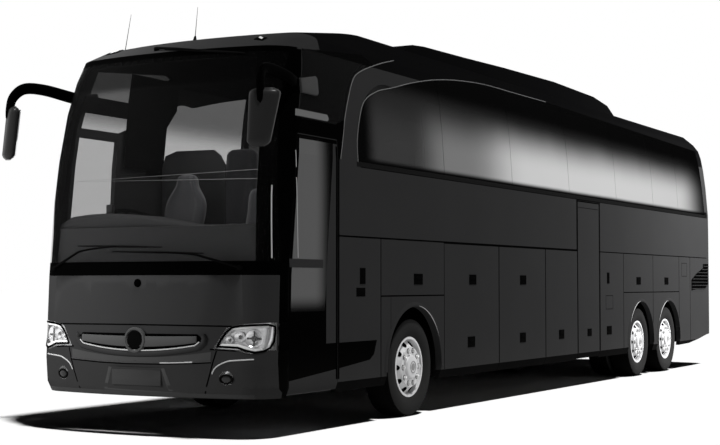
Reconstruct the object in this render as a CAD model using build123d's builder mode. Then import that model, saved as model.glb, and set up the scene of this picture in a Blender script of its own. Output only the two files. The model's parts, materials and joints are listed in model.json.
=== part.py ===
"""High-deck three-axle touring coach, right-hand drive, with doors on its left side.

Millimetres, +X forward, +Y to the coach's left, +Z up.  The ground is z = 0 and the origin
lies under the middle of the overall box.  Places along the coach are given as stations: the
distance back from the foremost point of the body.
"""

from math import atan2, cos, degrees, radians, sin, sqrt
import os

from build123d import *

os.makedirs("parts", exist_ok=True)

# ---------------------------------------------------------------- driving dimensions
body_length = 13990.0
mirror_lead = 190.0          # how far the mirrors reach ahead of the body
front_x = (body_length - mirror_lead) / 2
half_width = 1275.0
wall = 60.0                  # whole thickness of a side wall, door or flap
glass = 12.0                 # bonded glass and its bed
roof_wall = 50.0
seat_gap = 0.3               # clearance of a piece on its seat
shut_gap = 7.0               # gap round doors and flaps
groove = 6.0                 # panel joint, width
groove_depth = 10.0

front_axle_at = 2857.0       # stations of the axles
drive_axle_at = 10144.0
tag_axle_at = 11494.0
wheel_radius = 490.0
tyre_width = 295.0
tyre_face = 1235.0           # outer face of the outer tyres, from the middle
twin_pitch = 330.0
rim_radius = 285.75

skirt_bottom = 345.0
waist = 1746.0               # height of the line under the window band
sill = 2450.0                # lower edge of the side glazing
cant = 3620.0                # where side wall and roof meet
tail_joint = 13680.0         # station where side wall and rear wall meet
door_from, door_to = 455.0, 1304.0           # front doorway, stations
bumper_top = 760.0
screen_bottom = 1390.0
screen_top = 3400.0
crest_foot = 2760.0                          # lower edge of the dark glass over the door
# (station, height) up the windscreen pillar, where front mask and side wall meet
pillar_line = [(door_from, 0), (door_from + 10, screen_bottom), (635, crest_foot), (820, screen_top)]
screen_lap = 55.0                            # width of pillar that shows behind the windscreen
saloon_floor = 1500.0
cab_floor = 1050.0
deck_plate = 50.0
hold_floor = 440.0
hold_front = 3450.0          # stations of the luggage hold's bulkheads
hold_rear = 9450.0

front_arch_radius = 600.0
rear_arch_radius = 575.0

# ---------------------------------------------------------------- body form
nose_bow = 4500.0            # plan radius of the front
nose_corner = 350.0
tail_bow = 9000.0
tail_corner = 180.0

# height, half width, nose set-back, tail set-back
body_sections = [
    (skirt_bottom, half_width - 30, 50, 30),
    (430, half_width, 20, 10),
    (650, half_width, 0, 0),
    (screen_bottom, half_width, 30, 0),
    (2070, half_width, 90, 0),
    (sill, half_width, 155, 10),
    (2900, half_width - 30, 240, 35),
    (3200, half_width - 62, 335, 60),
    (screen_top, half_width - 95, 430, 85),
    (3520, half_width - 130, 700, 115),
    (cant, half_width - 195, 1090, 180),
    (3745, half_width - 320, 1900, 330),
    (3800, half_width - 560, 2700, 700),
]


def at(station):
    """X of a station."""
    return front_x - station


def end_corner(tip_x, width, bow, corner, way):
    """Three points of the corner arc between a bowed end (way +1 front, -1 rear) and the left side."""
    bow_x = tip_x - way * bow
    run = sqrt((bow - corner) ** 2 - (width - corner) ** 2)
    centre = Vector(bow_x + way * run, width - corner)
    outward = (centre - Vector(bow_x, 0)).normalized()
    middle = (outward + Vector(0, 1)).normalized()
    return centre + outward * corner, centre + middle * corner, centre + Vector(0, corner)


def body_plan(height, width, nose_back, tail_back, inset):
    """Plan outline of the body at one height, moved in by inset."""
    nose = at(nose_back) - inset
    tail = at(body_length - tail_back) + inset
    front = end_corner(nose, width - inset, nose_bow - inset, nose_corner - inset, 1)
    rear = end_corner(tail, width - inset, tail_bow - inset, tail_corner - inset, -1)
    other = [[Vector(p.X, -p.Y) for p in corner] for corner in (front, rear)]
    with BuildSketch(Plane.XY.offset(height)) as plan:
        with BuildLine():
            ThreePointArc(other[0][0], (nose, 0), front[0])
            ThreePointArc(*front)
            Line(front[2], rear[2])
            ThreePointArc(*reversed(rear))
            ThreePointArc(rear[0], (tail, 0), other[1][0])
            ThreePointArc(*other[1])
            Line(other[1][2], other[0][2])
            ThreePointArc(*reversed(other[0]))
        make_face()
    return plan.sketch


def body_form(inset, top_inset):
    """The body's outer form moved in by inset, and by top_inset under the roof."""
    with BuildPart() as form:
        for height, width, nose_back, tail_back in body_sections:
            level = height - top_inset if height >= screen_top else height
            if inset and height == skirt_bottom:
                level -= 2 * wall
            add(body_plan(level, width, nose_back, tail_back, inset))
        loft(ruled=True)
    return form.part


outer = body_form(0, 0)
glass_line = body_form(glass, glass)
inner = body_form(wall, roof_wall)
inner_trim = body_form(wall + seat_gap, roof_wall + seat_gap)

shell = outer - inner                # the whole wall
skin = outer - glass_line            # the layer that bonded glass fills


# ---------------------------------------------------------------- helpers
def block(stations, across, heights, mode=Mode.ADD):
    """A box between two stations, two widths from the middle and two heights."""
    lengths = [abs(pair[1] - pair[0]) for pair in (stations, across, heights)]
    middles = [sum(pair) / 2 for pair in (stations, across, heights)]
    with Locations((at(middles[0]), middles[1], middles[2])):
        Box(*lengths, mode=mode)


def side_plane(way, reach=1500.0):
    """A plane outside one side (way +1 left, -1 right); what it carries extrudes inwards."""
    return Plane(origin=(0, way * reach, 0), x_dir=(way, 0, 0), z_dir=(0, -way, 0))


def side_face(way, outline):
    """A face on side_plane from corners given as (station, height)."""
    with BuildSketch(side_plane(way)) as face:
        with BuildLine():
            Polyline([(way * at(s), z) for s, z in outline], close=True)
        make_face()
    return face.sketch


def rod(start, end, radius, mode=Mode.ADD):
    """A round bar between two points."""
    start, end = Vector(*start), Vector(*end)
    with BuildSketch(Plane(origin=start, z_dir=end - start)) as section:
        Circle(radius)
    extrude(section.sketch, amount=(end - start).length, mode=mode)


def keep(name, part):
    """Label a finished piece and write its STEP file."""
    part.label = name
    export_step(part, f"parts/{name}.step")


# ---------------------------------------------------------------- side features
door_bottom, door_top = 363.0, 2617.0        # doorway heights
door_glass_bottom = 1075.0
mid_from, mid_to = 7520.0, 8364.0            # middle doorway
mid_bottom, mid_top = 355.0, 2402.0

flap_bays = [(3538.0, 4982.0), (4982.0, 6407.0), (6407.0, 7520.0)]
fixed_joints = [2136.0, 9355.0, 10711.0, 12046.0, 12656.0]
# station from, station to, height of the level panel joints
level_joints = [(door_from, tail_joint, waist), (2136.0, 3538.0, 1200.0), (9355.0, 12046.0, 1200.0)]
post_stations = [3538.0, 4982.0, 6407.0, 7520.0, mid_to, 9355.0]
post_width = 90.0
post_depth = 60.0

glazing_from, glazing_to = 1680.0, 13560.0
pane_joints = [3560.0, 5390.0, 7250.0, 9080.0, 10760.0, 12040.0]
pane_gap = 8.0
pillar_width = 90.0
glazing_margin = 60.0                        # glass lapping over the wall

# (station, height): roof side of the front, over the crown glass and back along the cant rail
roof_side = [
    (-400, screen_top), (820, screen_top), (1339, 3447), (1976, 3505), (2250, cant),
    (body_length + 400, cant), (body_length + 400, 4000), (-400, 4000),
]
# dark glass ahead of the arch that rises from the door to the roof
crown_glass = [
    (643, crest_foot), (door_to, crest_foot), (1472, 2824), (1566, 3019), (1700, 3222),
    (1895, 3332), (2180, 3432), (1976, 3499), (1339, 3441), (826, screen_top - groove),
]
# door glass with its slanted rear edge
door_glass = [
    (door_from + 35, door_glass_bottom), (door_from + 45, screen_bottom), (640, door_top - 37),
    (1225, door_top - 37), (1120, 1620), (1070, door_glass_bottom),
]
# driver's window on the right
driver_glass = [
    (500, 1600), (643, crest_foot - groove), (door_to, crest_foot - groove),
    (1260, 1900), (1180, 1600),
]
window_lap = 40.0


def glazing_face(way):
    """Outline of the side glazing: flat sill, a front edge that sweeps up and over, a raked rear."""
    points = {
        "toe": (glazing_from, sill),
        "knee": (1850, 3010),
        "brow": (2510, 3245),
        "shoulder": (3650, 3470),
        "crown": (5000, 3585),
        "top": (6900, 3600),
        "tail": (glazing_to - 120, 3505),
        "heel": (glazing_to, sill),
    }
    p = {name: (way * at(s), z) for name, (s, z) in points.items()}
    with BuildSketch(side_plane(way)) as face:
        with BuildLine():
            ThreePointArc(p["toe"], p["knee"], p["brow"])
            ThreePointArc(p["brow"], p["shoulder"], p["crown"])
            Polyline(p["crown"], p["top"], p["tail"], p["heel"], p["toe"])
        make_face()
    return face.sketch


def inward(face, amount=500.0):
    """The prism of a side face, from outside the coach to well inside its wall."""
    return extrude(face, amount=amount, mode=Mode.PRIVATE)


def shrunk(face, margin):
    """The face of an opening that leaves a margin of wall behind its glass."""
    return offset(face, amount=-margin, mode=Mode.PRIVATE)


def bonded(face):
    """The glass layer within a side face."""
    return skin & inward(face)


def bars(way, stations, width, low, high):
    """Upright rectangles on side_plane at some stations."""
    with BuildSketch(side_plane(way)) as face:
        for station in stations:
            with Locations((way * at(station), (low + high) / 2)):
                Rectangle(width, high - low)
    return face.sketch


glazing = {way: glazing_face(way) for way in (1, -1)}
panes = {way: inward(glazing[way] - bars(way, pane_joints, pane_gap, 2000, 4000)) & skin for way in (1, -1)}
window_openings = {
    way: inward(shrunk(glazing[way], glazing_margin) - bars(way, pane_joints, pillar_width, 2000, 4000))
    for way in (1, -1)
}
crown_faces = {way: side_face(way, crown_glass) for way in (1, -1)}
driver_face = side_face(-1, driver_glass)
door_glass_face = side_face(1, door_glass)


# ---------------------------------------------------------------- side walls
def frame_bars(way):
    """Posts and sill rail behind the flaps of one side."""
    depth = (way * (half_width - wall - post_depth), way * half_width)
    with BuildPart() as posts:
        for station in post_stations:
            span = (station - post_width / 2, station + post_width / 2)
            block(span, depth, (skirt_bottom + 15, waist + 60))
        block((hold_front, hold_rear), depth, (skirt_bottom + 15, hold_floor))
        add(inner_trim, mode=Mode.INTERSECT)
        # waist rail that ties the posts to the wall
        block((2200, tail_joint - 300), (depth[0], way * (half_width - wall / 2)), (waist + 20, waist + 80))
    return posts.part


def side_cuts(way):
    """Everything cut right through one side wall, and its panel joints."""
    through = (way * 1100, way * 1500)
    groove_reach = (way * (half_width - groove_depth), way * 1500)
    with BuildPart() as cuts:
        add(window_openings[way])
        add(inward(shrunk(crown_faces[way], window_lap)))
        add(inward(side_face(way, roof_side), 1500))
        if way > 0:
            block((door_from - 200, door_to), (way * 900, way * 1500), (0, door_top))
            block((mid_from, mid_to), through, (0, mid_top))
        else:
            add(inward(shrunk(driver_face, window_lap)))
        for station, radius in arches:
            with Locations(Location((at(station), way * 900, wheel_radius), (90, 0, 0))):
                Cylinder(radius, 1200)
            block((station - radius, station + radius), (way * 300, way * 1500), (0, wheel_radius))
        # the skirt rises behind the rear wheels
        add(inward(side_face(way, rear_skirt), 1500))
        for station in fixed_joints:
            block((station - groove / 2, station + groove / 2), groove_reach, (0, waist))
        for start, end, height in level_joints:
            block((start, end), groove_reach, (height - groove / 2, height + groove / 2))
    return cuts.part


def side_wall(way):
    """One side: wall, waist rail, sill rail and posts, with windows, doors, flaps and arches cut."""
    with BuildPart() as side:
        add(shell)
        add(inward(side_face(way, side_region), 1500), mode=Mode.INTERSECT)
        for start, end in flap_bays:
            block((start, end), (way * 1000, way * 1500), (0, waist), mode=Mode.SUBTRACT)
        add(frame_bars(way))
        beds = [bonded(glazing[way]), bonded(crown_faces[way])]
        if way < 0:
            beds.append(bonded(driver_face))
        add([side_cuts(way)] + beds, mode=Mode.SUBTRACT)
    return side.part


# the part of the coach that the side walls cover, and the parts of the front, seen from the side
side_region = [(s + seat_gap, z) for s, z in pillar_line]
side_region += [(820 + seat_gap, cant - seat_gap), (tail_joint - seat_gap, cant - seat_gap),
                (tail_joint - seat_gap, 0)]
mask_region = pillar_line[:-1] + [(820, screen_top - seat_gap), (-400, screen_top - seat_gap), (-400, 0)]
screen_region = [(s - screen_lap, z) for s, z in pillar_line[1:-1]]
screen_region += [(820 - screen_lap, screen_top - seat_gap), (-400, screen_top - seat_gap),
                  (-400, screen_bottom)]
rear_skirt = [(11900, 0), (11900, 370), (12620, 384), (13200, 444), (14000, 540), (14000, 0)]
arches = [
    (front_axle_at, front_arch_radius), (drive_axle_at, rear_arch_radius), (tag_axle_at, rear_arch_radius),
]

keep("side_left", side_wall(1))
keep("side_right", side_wall(-1))


# ---------------------------------------------------------------- luggage flaps
def flap(way, start, end):
    """A luggage flap: a piece of the wall with its shut gaps."""
    with BuildPart() as leaf:
        add(shell)
        block((start + shut_gap / 2, end - shut_gap / 2), (way * 1000, way * 1500),
              (0, waist - shut_gap), mode=Mode.INTERSECT)
    return leaf.part


for way, side_name in ((1, "left"), (-1, "right")):
    for number, (start, end) in enumerate(flap_bays, 1):
        keep(f"flap_{side_name}_{number}", flap(way, start, end))


# ---------------------------------------------------------------- doors
post_radius = 25.0
arm_section = 36.0
pin_radius = 12.0
bracket_radius = 24.0
door_arm_heights = (1495.0, 2575.0)      # across the grab rail and the top rail of the leaf
mid_arm_heights = (1495.0, 2150.0)
rail_low_edge, rail_high_edge, rail_thick = 1450.0, 1540.0, 45.0
door_hinge = 720.0                       # stations of the turning posts
mid_hinge = mid_to - 150.0
hinge_inset = 1085.0                     # post centres, from the middle
pin_inset = 1150.0                       # leaf pins, from the middle
arm_reach = 450.0


def door_leaf(way_in, window, bar, pin_at, heights):
    """A door leaf with its window cut, its grab rail and the brackets its arms take hold of."""
    with BuildPart() as leaf:
        add(shell)
        add(inward(side_face(1, way_in), 600), mode=Mode.INTERSECT)
        if window:
            add([bonded(window), inward(shrunk(window, window_lap))], mode=Mode.SUBTRACT)
        rail = (half_width - wall - rail_thick + 5, half_width - wall + 5)
        block(bar, rail, (rail_low_edge, rail_high_edge))
        for height in heights:
            for level in (height - arm_section / 2 - 20, height + arm_section / 2 + seat_gap):
                block((pin_at - bracket_radius, pin_at + bracket_radius),
                      (pin_inset - bracket_radius, half_width - wall + 5), (level, level + 20 - seat_gap))
            rod((at(pin_at), pin_inset, height - arm_section / 2 - 10),
                (at(pin_at), pin_inset, height + arm_section / 2 + 10), pin_radius)
    return leaf.part


def door_arm(hinge_at, pin_at, foot, heights):
    """A turning post with the two arms that carry a door leaf."""
    with BuildPart() as arm:
        post_foot = (at(hinge_at), hinge_inset, foot + seat_gap)
        rod(post_foot, (at(hinge_at), hinge_inset, heights[1] + 60), post_radius)
        angle = degrees(atan2(pin_inset - hinge_inset, at(pin_at) - at(hinge_at)))
        length = sqrt((pin_inset - hinge_inset) ** 2 + (pin_at - hinge_at) ** 2)
        for height in heights:
            middle = ((at(hinge_at) + at(pin_at)) / 2, (hinge_inset + pin_inset) / 2, height)
            with Locations(Location(middle, (0, 0, angle))):
                Box(length, arm_section - 4, arm_section - 2 * seat_gap)
            with Locations((at(pin_at), pin_inset, height)):
                Cylinder(bracket_radius - 3, arm_section - 2 * seat_gap)
                Cylinder(pin_radius + seat_gap, arm_section, mode=Mode.SUBTRACT)
    return arm.part


step_heights = [400.0, 620.0, 840.0]     # tops of the front steps
door_pin = door_hinge + arm_reach
mid_pin = mid_hinge - arm_reach
front_leaf = [
    (door_from + shut_gap, door_bottom + shut_gap), (door_from + 10 + shut_gap, screen_bottom),
    (628, door_top - shut_gap),
    (door_to - shut_gap, door_top - shut_gap), (door_to - shut_gap, door_bottom + shut_gap),
]
middle_leaf = [
    (mid_from + shut_gap, mid_bottom + shut_gap), (mid_from + shut_gap, mid_top - shut_gap),
    (mid_to - shut_gap, mid_top - shut_gap), (mid_to - shut_gap, mid_bottom + shut_gap),
]
keep("front_door", door_leaf(front_leaf, door_glass_face, (560, door_to - 30), door_pin, door_arm_heights))
keep("front_door_glass", bonded(door_glass_face))
keep("front_door_arm", door_arm(door_hinge, door_pin, step_heights[0], door_arm_heights))
keep("middle_door", door_leaf(middle_leaf, None, (mid_from + 30, mid_to - 30), mid_pin, mid_arm_heights))
keep("middle_door_arm", door_arm(mid_hinge, mid_pin, step_heights[0], mid_arm_heights))

# ---------------------------------------------------------------- side glass
lights = [bonded(crown_faces[way]) for way in (1, -1)] + [bonded(driver_face)]
for way in (1, -1):
    lights += panes[way].solids()
keep("side_glazing", Compound(children=lights))

# ---------------------------------------------------------------- roof
with BuildPart() as roof:
    add(shell)
    add(inward(side_face(1, roof_side), 3000), mode=Mode.INTERSECT)
keep("roof", roof.part)

# ---------------------------------------------------------------- front mask, windscreen, bumper
screen_margin = 90.0


def front_view(outline, start=-400.0, end=900.0):
    """A prism through the front from corners given as (across, height)."""
    with BuildPart() as prism:
        with BuildSketch(Plane(origin=(at(end), 0, 0), x_dir=(0, 1, 0), z_dir=(1, 0, 0))):
            with BuildLine():
                Polyline(outline, close=True)
            make_face()
        extrude(amount=end - start)
    return prism.part


bumper_edge = [
    (-1500, bumper_top), (-720, 770), (0, 680), (720, 770), (1500, bumper_top), (1500, 0), (-1500, 0),
]
lamp_left = [
    (757, 762), (880, 945), (1000, 975), (1225, 990), (1400, 990), (1400, 752), (1180, 756), (1080, 722),
    (980, 756),
]
grille_outline = [(-690, 940), (690, 940), (715, 830), (720, 771), (0, 681), (-720, 771), (-715, 830)]
lamp_shape = {way: front_view([(way * y, z) for y, z in lamp_left]) for way in (1, -1)}
grille_shape = front_view(grille_outline)

nose_shell = shell & inward(side_face(1, mask_region), 3000)
screen_layer = skin & inward(side_face(1, screen_region), 3000)
screen_opening = [
    (-1100, screen_bottom + screen_margin), (1100, screen_bottom + screen_margin), (1060, 2700),
    (920, screen_top - screen_margin), (-920, screen_top - screen_margin), (-1060, 2700),
]
with BuildPart() as front_mask:
    add(nose_shell)
    add(front_view(bumper_edge), mode=Mode.SUBTRACT)
    add([screen_layer, front_view(screen_opening)], mode=Mode.SUBTRACT)
    for way in (1, -1):
        add(lamp_shape[way], mode=Mode.SUBTRACT)
    add(grille_shape, mode=Mode.SUBTRACT)
keep("front_mask", front_mask.part)

with BuildPart() as windscreen:
    add(screen_layer)
    add(inward(side_face(1, [(-500, 0), (-500, 5000), (3000, 5000), (3000, screen_bottom + seat_gap),
                             (-400, screen_bottom + seat_gap)]), 3000), mode=Mode.INTERSECT)
keep("windscreen", windscreen.part)

plate_half, plate_low, plate_high, plate_recess = 280.0, 440.0, 600.0, 15.0
fog_at, fog_height, fog_radius = 880.0, 520.0, 62.0


def fog_plane(way):
    """A plane behind the bumper at a fog lamp's middle, facing forward."""
    return Plane(origin=(at(600), way * fog_at, fog_height), x_dir=(0, 1, 0), z_dir=(1, 0, 0))


with BuildPart() as front_bumper:
    add(nose_shell)
    add(front_view(bumper_edge), mode=Mode.INTERSECT)
    for way in (1, -1):
        add(lamp_shape[way], mode=Mode.SUBTRACT)
        with BuildSketch(fog_plane(way)):
            Circle(fog_radius)
        extrude(amount=1000, mode=Mode.SUBTRACT)
    add(grille_shape, mode=Mode.SUBTRACT)
    block((-100, plate_recess), (-plate_half, plate_half), (plate_low, plate_high), mode=Mode.SUBTRACT)
keep("front_bumper", front_bumper.part)

lamp_skin = nose_shell & front_view([(-1500, 0), (1500, 0), (1500, 1200), (-1500, 1200)])
with BuildPart() as front_lamps:
    for way in (1, -1):
        add(lamp_skin & lamp_shape[way])
    for way in (1, -1):
        with BuildPart(mode=Mode.PRIVATE) as fog:
            add(shell)
            with BuildSketch(fog_plane(way)):
                Circle(fog_radius - seat_gap)
            extrude(amount=1000, mode=Mode.INTERSECT)
        add(fog.part)
keep("front_lamps", front_lamps.part)

with BuildPart() as grille:
    add(lamp_skin)
    add(grille_shape, mode=Mode.INTERSECT)
keep("grille", grille.part)

# ---------------------------------------------------------------- rear
rear_region = ((tail_joint + seat_gap, body_length + 400), (-1500, 1500))
rear_bumper_top = 760.0
rear_glass_low, rear_glass_high, rear_glass_half = sill, 3330.0, 1060.0
lid_low, lid_high, lid_half = 800.0, 1900.0, 860.0
lamp_low, lamp_high, lamp_inner, lamp_outer = 860.0, 1560.0, 960.0, 1120.0


def rear_block(across, heights, mode):
    """A box through the rear wall."""
    block((tail_joint, body_length + 400), across, heights, mode=mode)


# the frame behind the engine lid that it closes on
lid_seat_inner, lid_seat_outer, lid_seat_depth = 40.0, 50.0, 35.0
behind_wall = body_form(wall + lid_seat_depth, roof_wall + lid_seat_depth)
with BuildPart() as lid_seat:
    add(inner - behind_wall)
    rear_block((-lid_half - lid_seat_outer, lid_half + lid_seat_outer),
               (lid_low - lid_seat_outer / 2, lid_high + lid_seat_outer), Mode.INTERSECT)
    rear_block((-lid_half + lid_seat_inner, lid_half - lid_seat_inner),
               (lid_low + lid_seat_inner, lid_high - lid_seat_inner), Mode.SUBTRACT)
    with BuildPart(mode=Mode.PRIVATE) as lid_relief:
        add(inner - inner_trim)
        rear_block((-lid_half, lid_half), (lid_low, lid_high), Mode.INTERSECT)
    add(lid_relief.part, mode=Mode.SUBTRACT)

with BuildPart() as rear_wall:
    add(shell)
    block(*rear_region, (rear_bumper_top + seat_gap, cant - seat_gap), mode=Mode.INTERSECT)
    with BuildPart(mode=Mode.PRIVATE) as rear_bed:
        add(skin)
        rear_block((-rear_glass_half, rear_glass_half), (rear_glass_low, rear_glass_high), Mode.INTERSECT)
    add(rear_bed.part, mode=Mode.SUBTRACT)
    rear_block((-rear_glass_half + 60, rear_glass_half - 60), (rear_glass_low + 60, rear_glass_high - 60),
               Mode.SUBTRACT)
    rear_block((-lid_half, lid_half), (lid_low, lid_high), Mode.SUBTRACT)
    for way in (1, -1):
        rear_block((way * lamp_inner, way * lamp_outer), (lamp_low, lamp_high), Mode.SUBTRACT)
    add(lid_seat.part)
keep("rear_wall", rear_wall.part)

with BuildPart() as rear_glass:
    add(skin)
    rear_block((-rear_glass_half + seat_gap, rear_glass_half - seat_gap),
               (rear_glass_low + seat_gap, rear_glass_high - seat_gap), Mode.INTERSECT)
keep("rear_glass", rear_glass.part)

with BuildPart() as engine_lid:
    add(shell)
    rear_block((-lid_half + shut_gap, lid_half - shut_gap), (lid_low + shut_gap, lid_high - shut_gap),
               Mode.INTERSECT)
keep("engine_lid", engine_lid.part)

with BuildPart() as tail_lamps:
    for way in (1, -1):
        with BuildPart(mode=Mode.PRIVATE) as cluster:
            add(shell)
            rear_block((way * (lamp_inner + seat_gap), way * (lamp_outer - seat_gap)),
                       (lamp_low + seat_gap, lamp_high - seat_gap), Mode.INTERSECT)
        add(cluster.part)
keep("tail_lamps", tail_lamps.part)

bumper_rise = [(13600, 0), (13600, 480), (14100, 560), (14100, 0)]
with BuildPart() as rear_bumper:
    add(shell)
    block(*rear_region, (0, rear_bumper_top), mode=Mode.INTERSECT)
    add(inward(side_face(1, bumper_rise), 3000), mode=Mode.SUBTRACT)
keep("rear_bumper", rear_bumper.part)

# ---------------------------------------------------------------- roof pod and aerials
pod_top = 3946.0
# station, height of the pod's side profile
pod_profile = [
    (3320, 3690), (3320, 3770), (3460, 3830), (3740, 3852), (4760, 3877), (5910, 3912), (7560, pod_top),
    (9080, 3924), (9670, 3860), (9970, 3740), (9970, 3690),
]
pod_half = 950.0
seat_form = body_form(-seat_gap, -seat_gap)      # the body, with the clearance of what sits on it
with BuildPart() as roof_pod:
    with BuildSketch(Plane(origin=(0, pod_half, 0), x_dir=(1, 0, 0), z_dir=(0, -1, 0))):
        with BuildLine():
            Polyline([(at(s), z) for s, z in pod_profile], close=True)
        make_face()
    extrude(amount=2 * pod_half)
    # sloping cheeks
    for way in (1, -1):
        with BuildSketch(Plane(origin=(at(3000), 0, 0), x_dir=(0, 1, 0), z_dir=(-1, 0, 0))):
            with BuildLine():
                Polyline([(-way * (pod_half + 60), 3600), (-way * (pod_half - 130), 4000),
                          (-way * (pod_half + 400), 4000), (-way * (pod_half + 400), 3600)], close=True)
            make_face()
        extrude(amount=7400, mode=Mode.SUBTRACT)
    add(seat_form, mode=Mode.SUBTRACT)
keep("roof_pod", roof_pod.part)

# base station, across, base height; tip station, across, height
aerial_whips = [
    ((1250, -1010, 3600), (1130, -960, 3960)),
    ((1150, -200, 3612), (1150, -200, 3960)),
]
whip_radius = 5.0
with BuildPart() as aerials:
    for (s0, y0, z0), (s1, y1, z1) in aerial_whips:
        rod((at(s0), y0, z0), (at(s1), y1, z1), whip_radius)
        with Locations((at(s0), y0, z0 + 20)):
            Cylinder(26, 70)
    add(seat_form, mode=Mode.SUBTRACT)
keep("aerials", aerials.part)

# ---------------------------------------------------------------- mirrors
mirror_across, mirror_middle = 1360.0, 2684.0
mirror_height, mirror_width, mirror_depth, mirror_round = 490.0, 265.0, 110.0, 40.0
mirror_turn = {1: 28.0, -1: 20.0}            # heads are turned towards the driver, degrees
arm_radius = 52.0


def mirror_head(way):
    """A mirror head, turned towards the driver, with its foremost point mirror_lead ahead of the body."""
    with BuildPart() as head:
        with Locations(Location((0, way * mirror_across, mirror_middle), (0, 0, way * mirror_turn[way]))):
            Box(mirror_depth, mirror_width, mirror_height)
        fillet(head.edges(), radius=mirror_round)
    return Location((at(-mirror_lead) - head.part.bounding_box().max.X, 0, 0)) * head.part


def mirror_arm(way):
    """An arm from its foot on the side, forward and down in front of the head."""
    # station, across, height
    bends = [(820, 1185, 3040), (300, 1255, 3110), (-80, 1300, 3080), (-100, mirror_across, 2720)]
    with BuildPart() as arm:
        with BuildLine() as route:
            FilletPolyline([(at(s), way * y, z) for s, y, z in bends], radius=150)
        with BuildSketch(Plane(origin=route.line @ 0, z_dir=route.line % 0)):
            Circle(arm_radius)
        sweep()
    return arm.part


with BuildPart() as mirrors:
    for way in (1, -1):
        add([mirror_head(way), mirror_arm(way)])
    add(seat_form, mode=Mode.SUBTRACT)
keep("mirrors", mirrors.part)

# ---------------------------------------------------------------- wipers
# pivot and tip of each blade, (across, height) on the windscreen
wiper_blades = [((-350, 1420), (-1150, 1470)), ((100, 1420), (950, 1500)), ((-300, 3385), (420, 3330))]
wiper_proud, wiper_width = 40.0, 22.0
proud_form = body_form(-wiper_proud, 0)
blade_layer = proud_form - body_form(-wiper_proud / 2, 0)
pivot_layer = proud_form - seat_form


def front_prism(shape):
    """The prism of a front-view sketch, from ahead of the coach to behind the windscreen."""
    return extrude(shape, amount=1200, mode=Mode.PRIVATE)


with BuildPart() as wipers:
    for foot, tip in wiper_blades:
        run = Vector(tip[0] - foot[0], tip[1] - foot[1])
        middle = ((foot[0] + tip[0]) / 2, (foot[1] + tip[1]) / 2, 0)
        with BuildSketch(Plane(origin=(at(700), 0, 0), x_dir=(0, 1, 0), z_dir=(1, 0, 0)),
                         mode=Mode.PRIVATE) as blade:
            with Locations(Location(middle, (0, 0, degrees(atan2(run.Y, run.X))))):
                Rectangle(run.length, wiper_width)
        with BuildSketch(Plane(origin=(at(700), foot[0], foot[1]), x_dir=(0, 1, 0), z_dir=(1, 0, 0)),
                         mode=Mode.PRIVATE) as pivot:
            Circle(wiper_width)
        add([blade_layer & front_prism(blade.sketch), pivot_layer & front_prism(pivot.sketch)])
keep("wipers", wipers.part)

# ---------------------------------------------------------------- floors
well_half = 1215.0
front_well_inner = 560.0                 # inner edge of the stairwells, from the middle
hold_half = half_width - wall - post_depth - seat_gap
liner = 30.0                             # sheet round the stairwells
step_thick = 40.0
full_half = 1300.0                       # past the walls; plates are trimmed to the body


def plate(stations, across, heights):
    """A flat plate or panel inside the body's walls, with the clearance of its neighbours."""
    grown = [(min(pair) + seat_gap / 2, max(pair) - seat_gap / 2) for pair in (stations, across, heights)]
    with BuildPart() as sheet:
        block(*grown)
        add(inner_trim, mode=Mode.INTERSECT)
    return sheet.part


def stairwell(start, end, outer_edges, heights, top):
    """Liner and steps of a stairwell between two stations; a step for each outer edge and height."""
    low = step_heights[0] - step_thick
    inner_face = front_well_inner - liner
    made = [plate((start - liner, end + liner), (inner_face, front_well_inner), (low, top))]
    for station in (start - liner, end):
        made.append(plate((station, station + liner), (front_well_inner, max(outer_edges)), (low, top)))
    for edge, height in zip(outer_edges, heights):
        made.append(plate((start, end), (front_well_inner, edge), (height - step_thick, height)))
    return made


front_well = (door_from - 30, door_to + 20)
mid_well = (mid_from + 10, mid_to - 10)
mid_step_count = 4
mid_steps = [step_heights[0] + k * (saloon_floor - step_heights[0]) / (mid_step_count + 1)
             for k in range(mid_step_count)]
well_edge = front_well_inner - liner
riser = (2050, 2100)                     # stations of the step up from the cab to the saloon
saloon_plate = (saloon_floor - deck_plate, saloon_floor)
cab_plate = (cab_floor - deck_plate, cab_floor)
deck_plates = [
    plate((riser[1], mid_well[0] - liner), (-hold_half, hold_half), saloon_plate),
    plate((mid_well[0] - liner, mid_well[1] + liner), (-hold_half, well_edge), saloon_plate),
    plate((mid_well[1] + liner, tail_joint - 60), (-hold_half, hold_half), saloon_plate),
    plate((180, front_well[0] - liner), (-full_half, full_half), cab_plate),
    plate((front_well[0] - liner, front_well[1] + liner), (-full_half, well_edge), cab_plate),
    plate((front_well[1] + liner, riser[0]), (-full_half, full_half), cab_plate),
    plate(riser, (-full_half, full_half), (cab_plate[0], saloon_floor)),
]
deck_plates += stairwell(*front_well, [well_half - 220 * k for k in range(3)], step_heights, cab_floor)
deck_plates += stairwell(*mid_well, [1140 - 145 * k for k in range(mid_step_count)], mid_steps, saloon_floor)
keep("deck", Compound(children=deck_plates))

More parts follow.
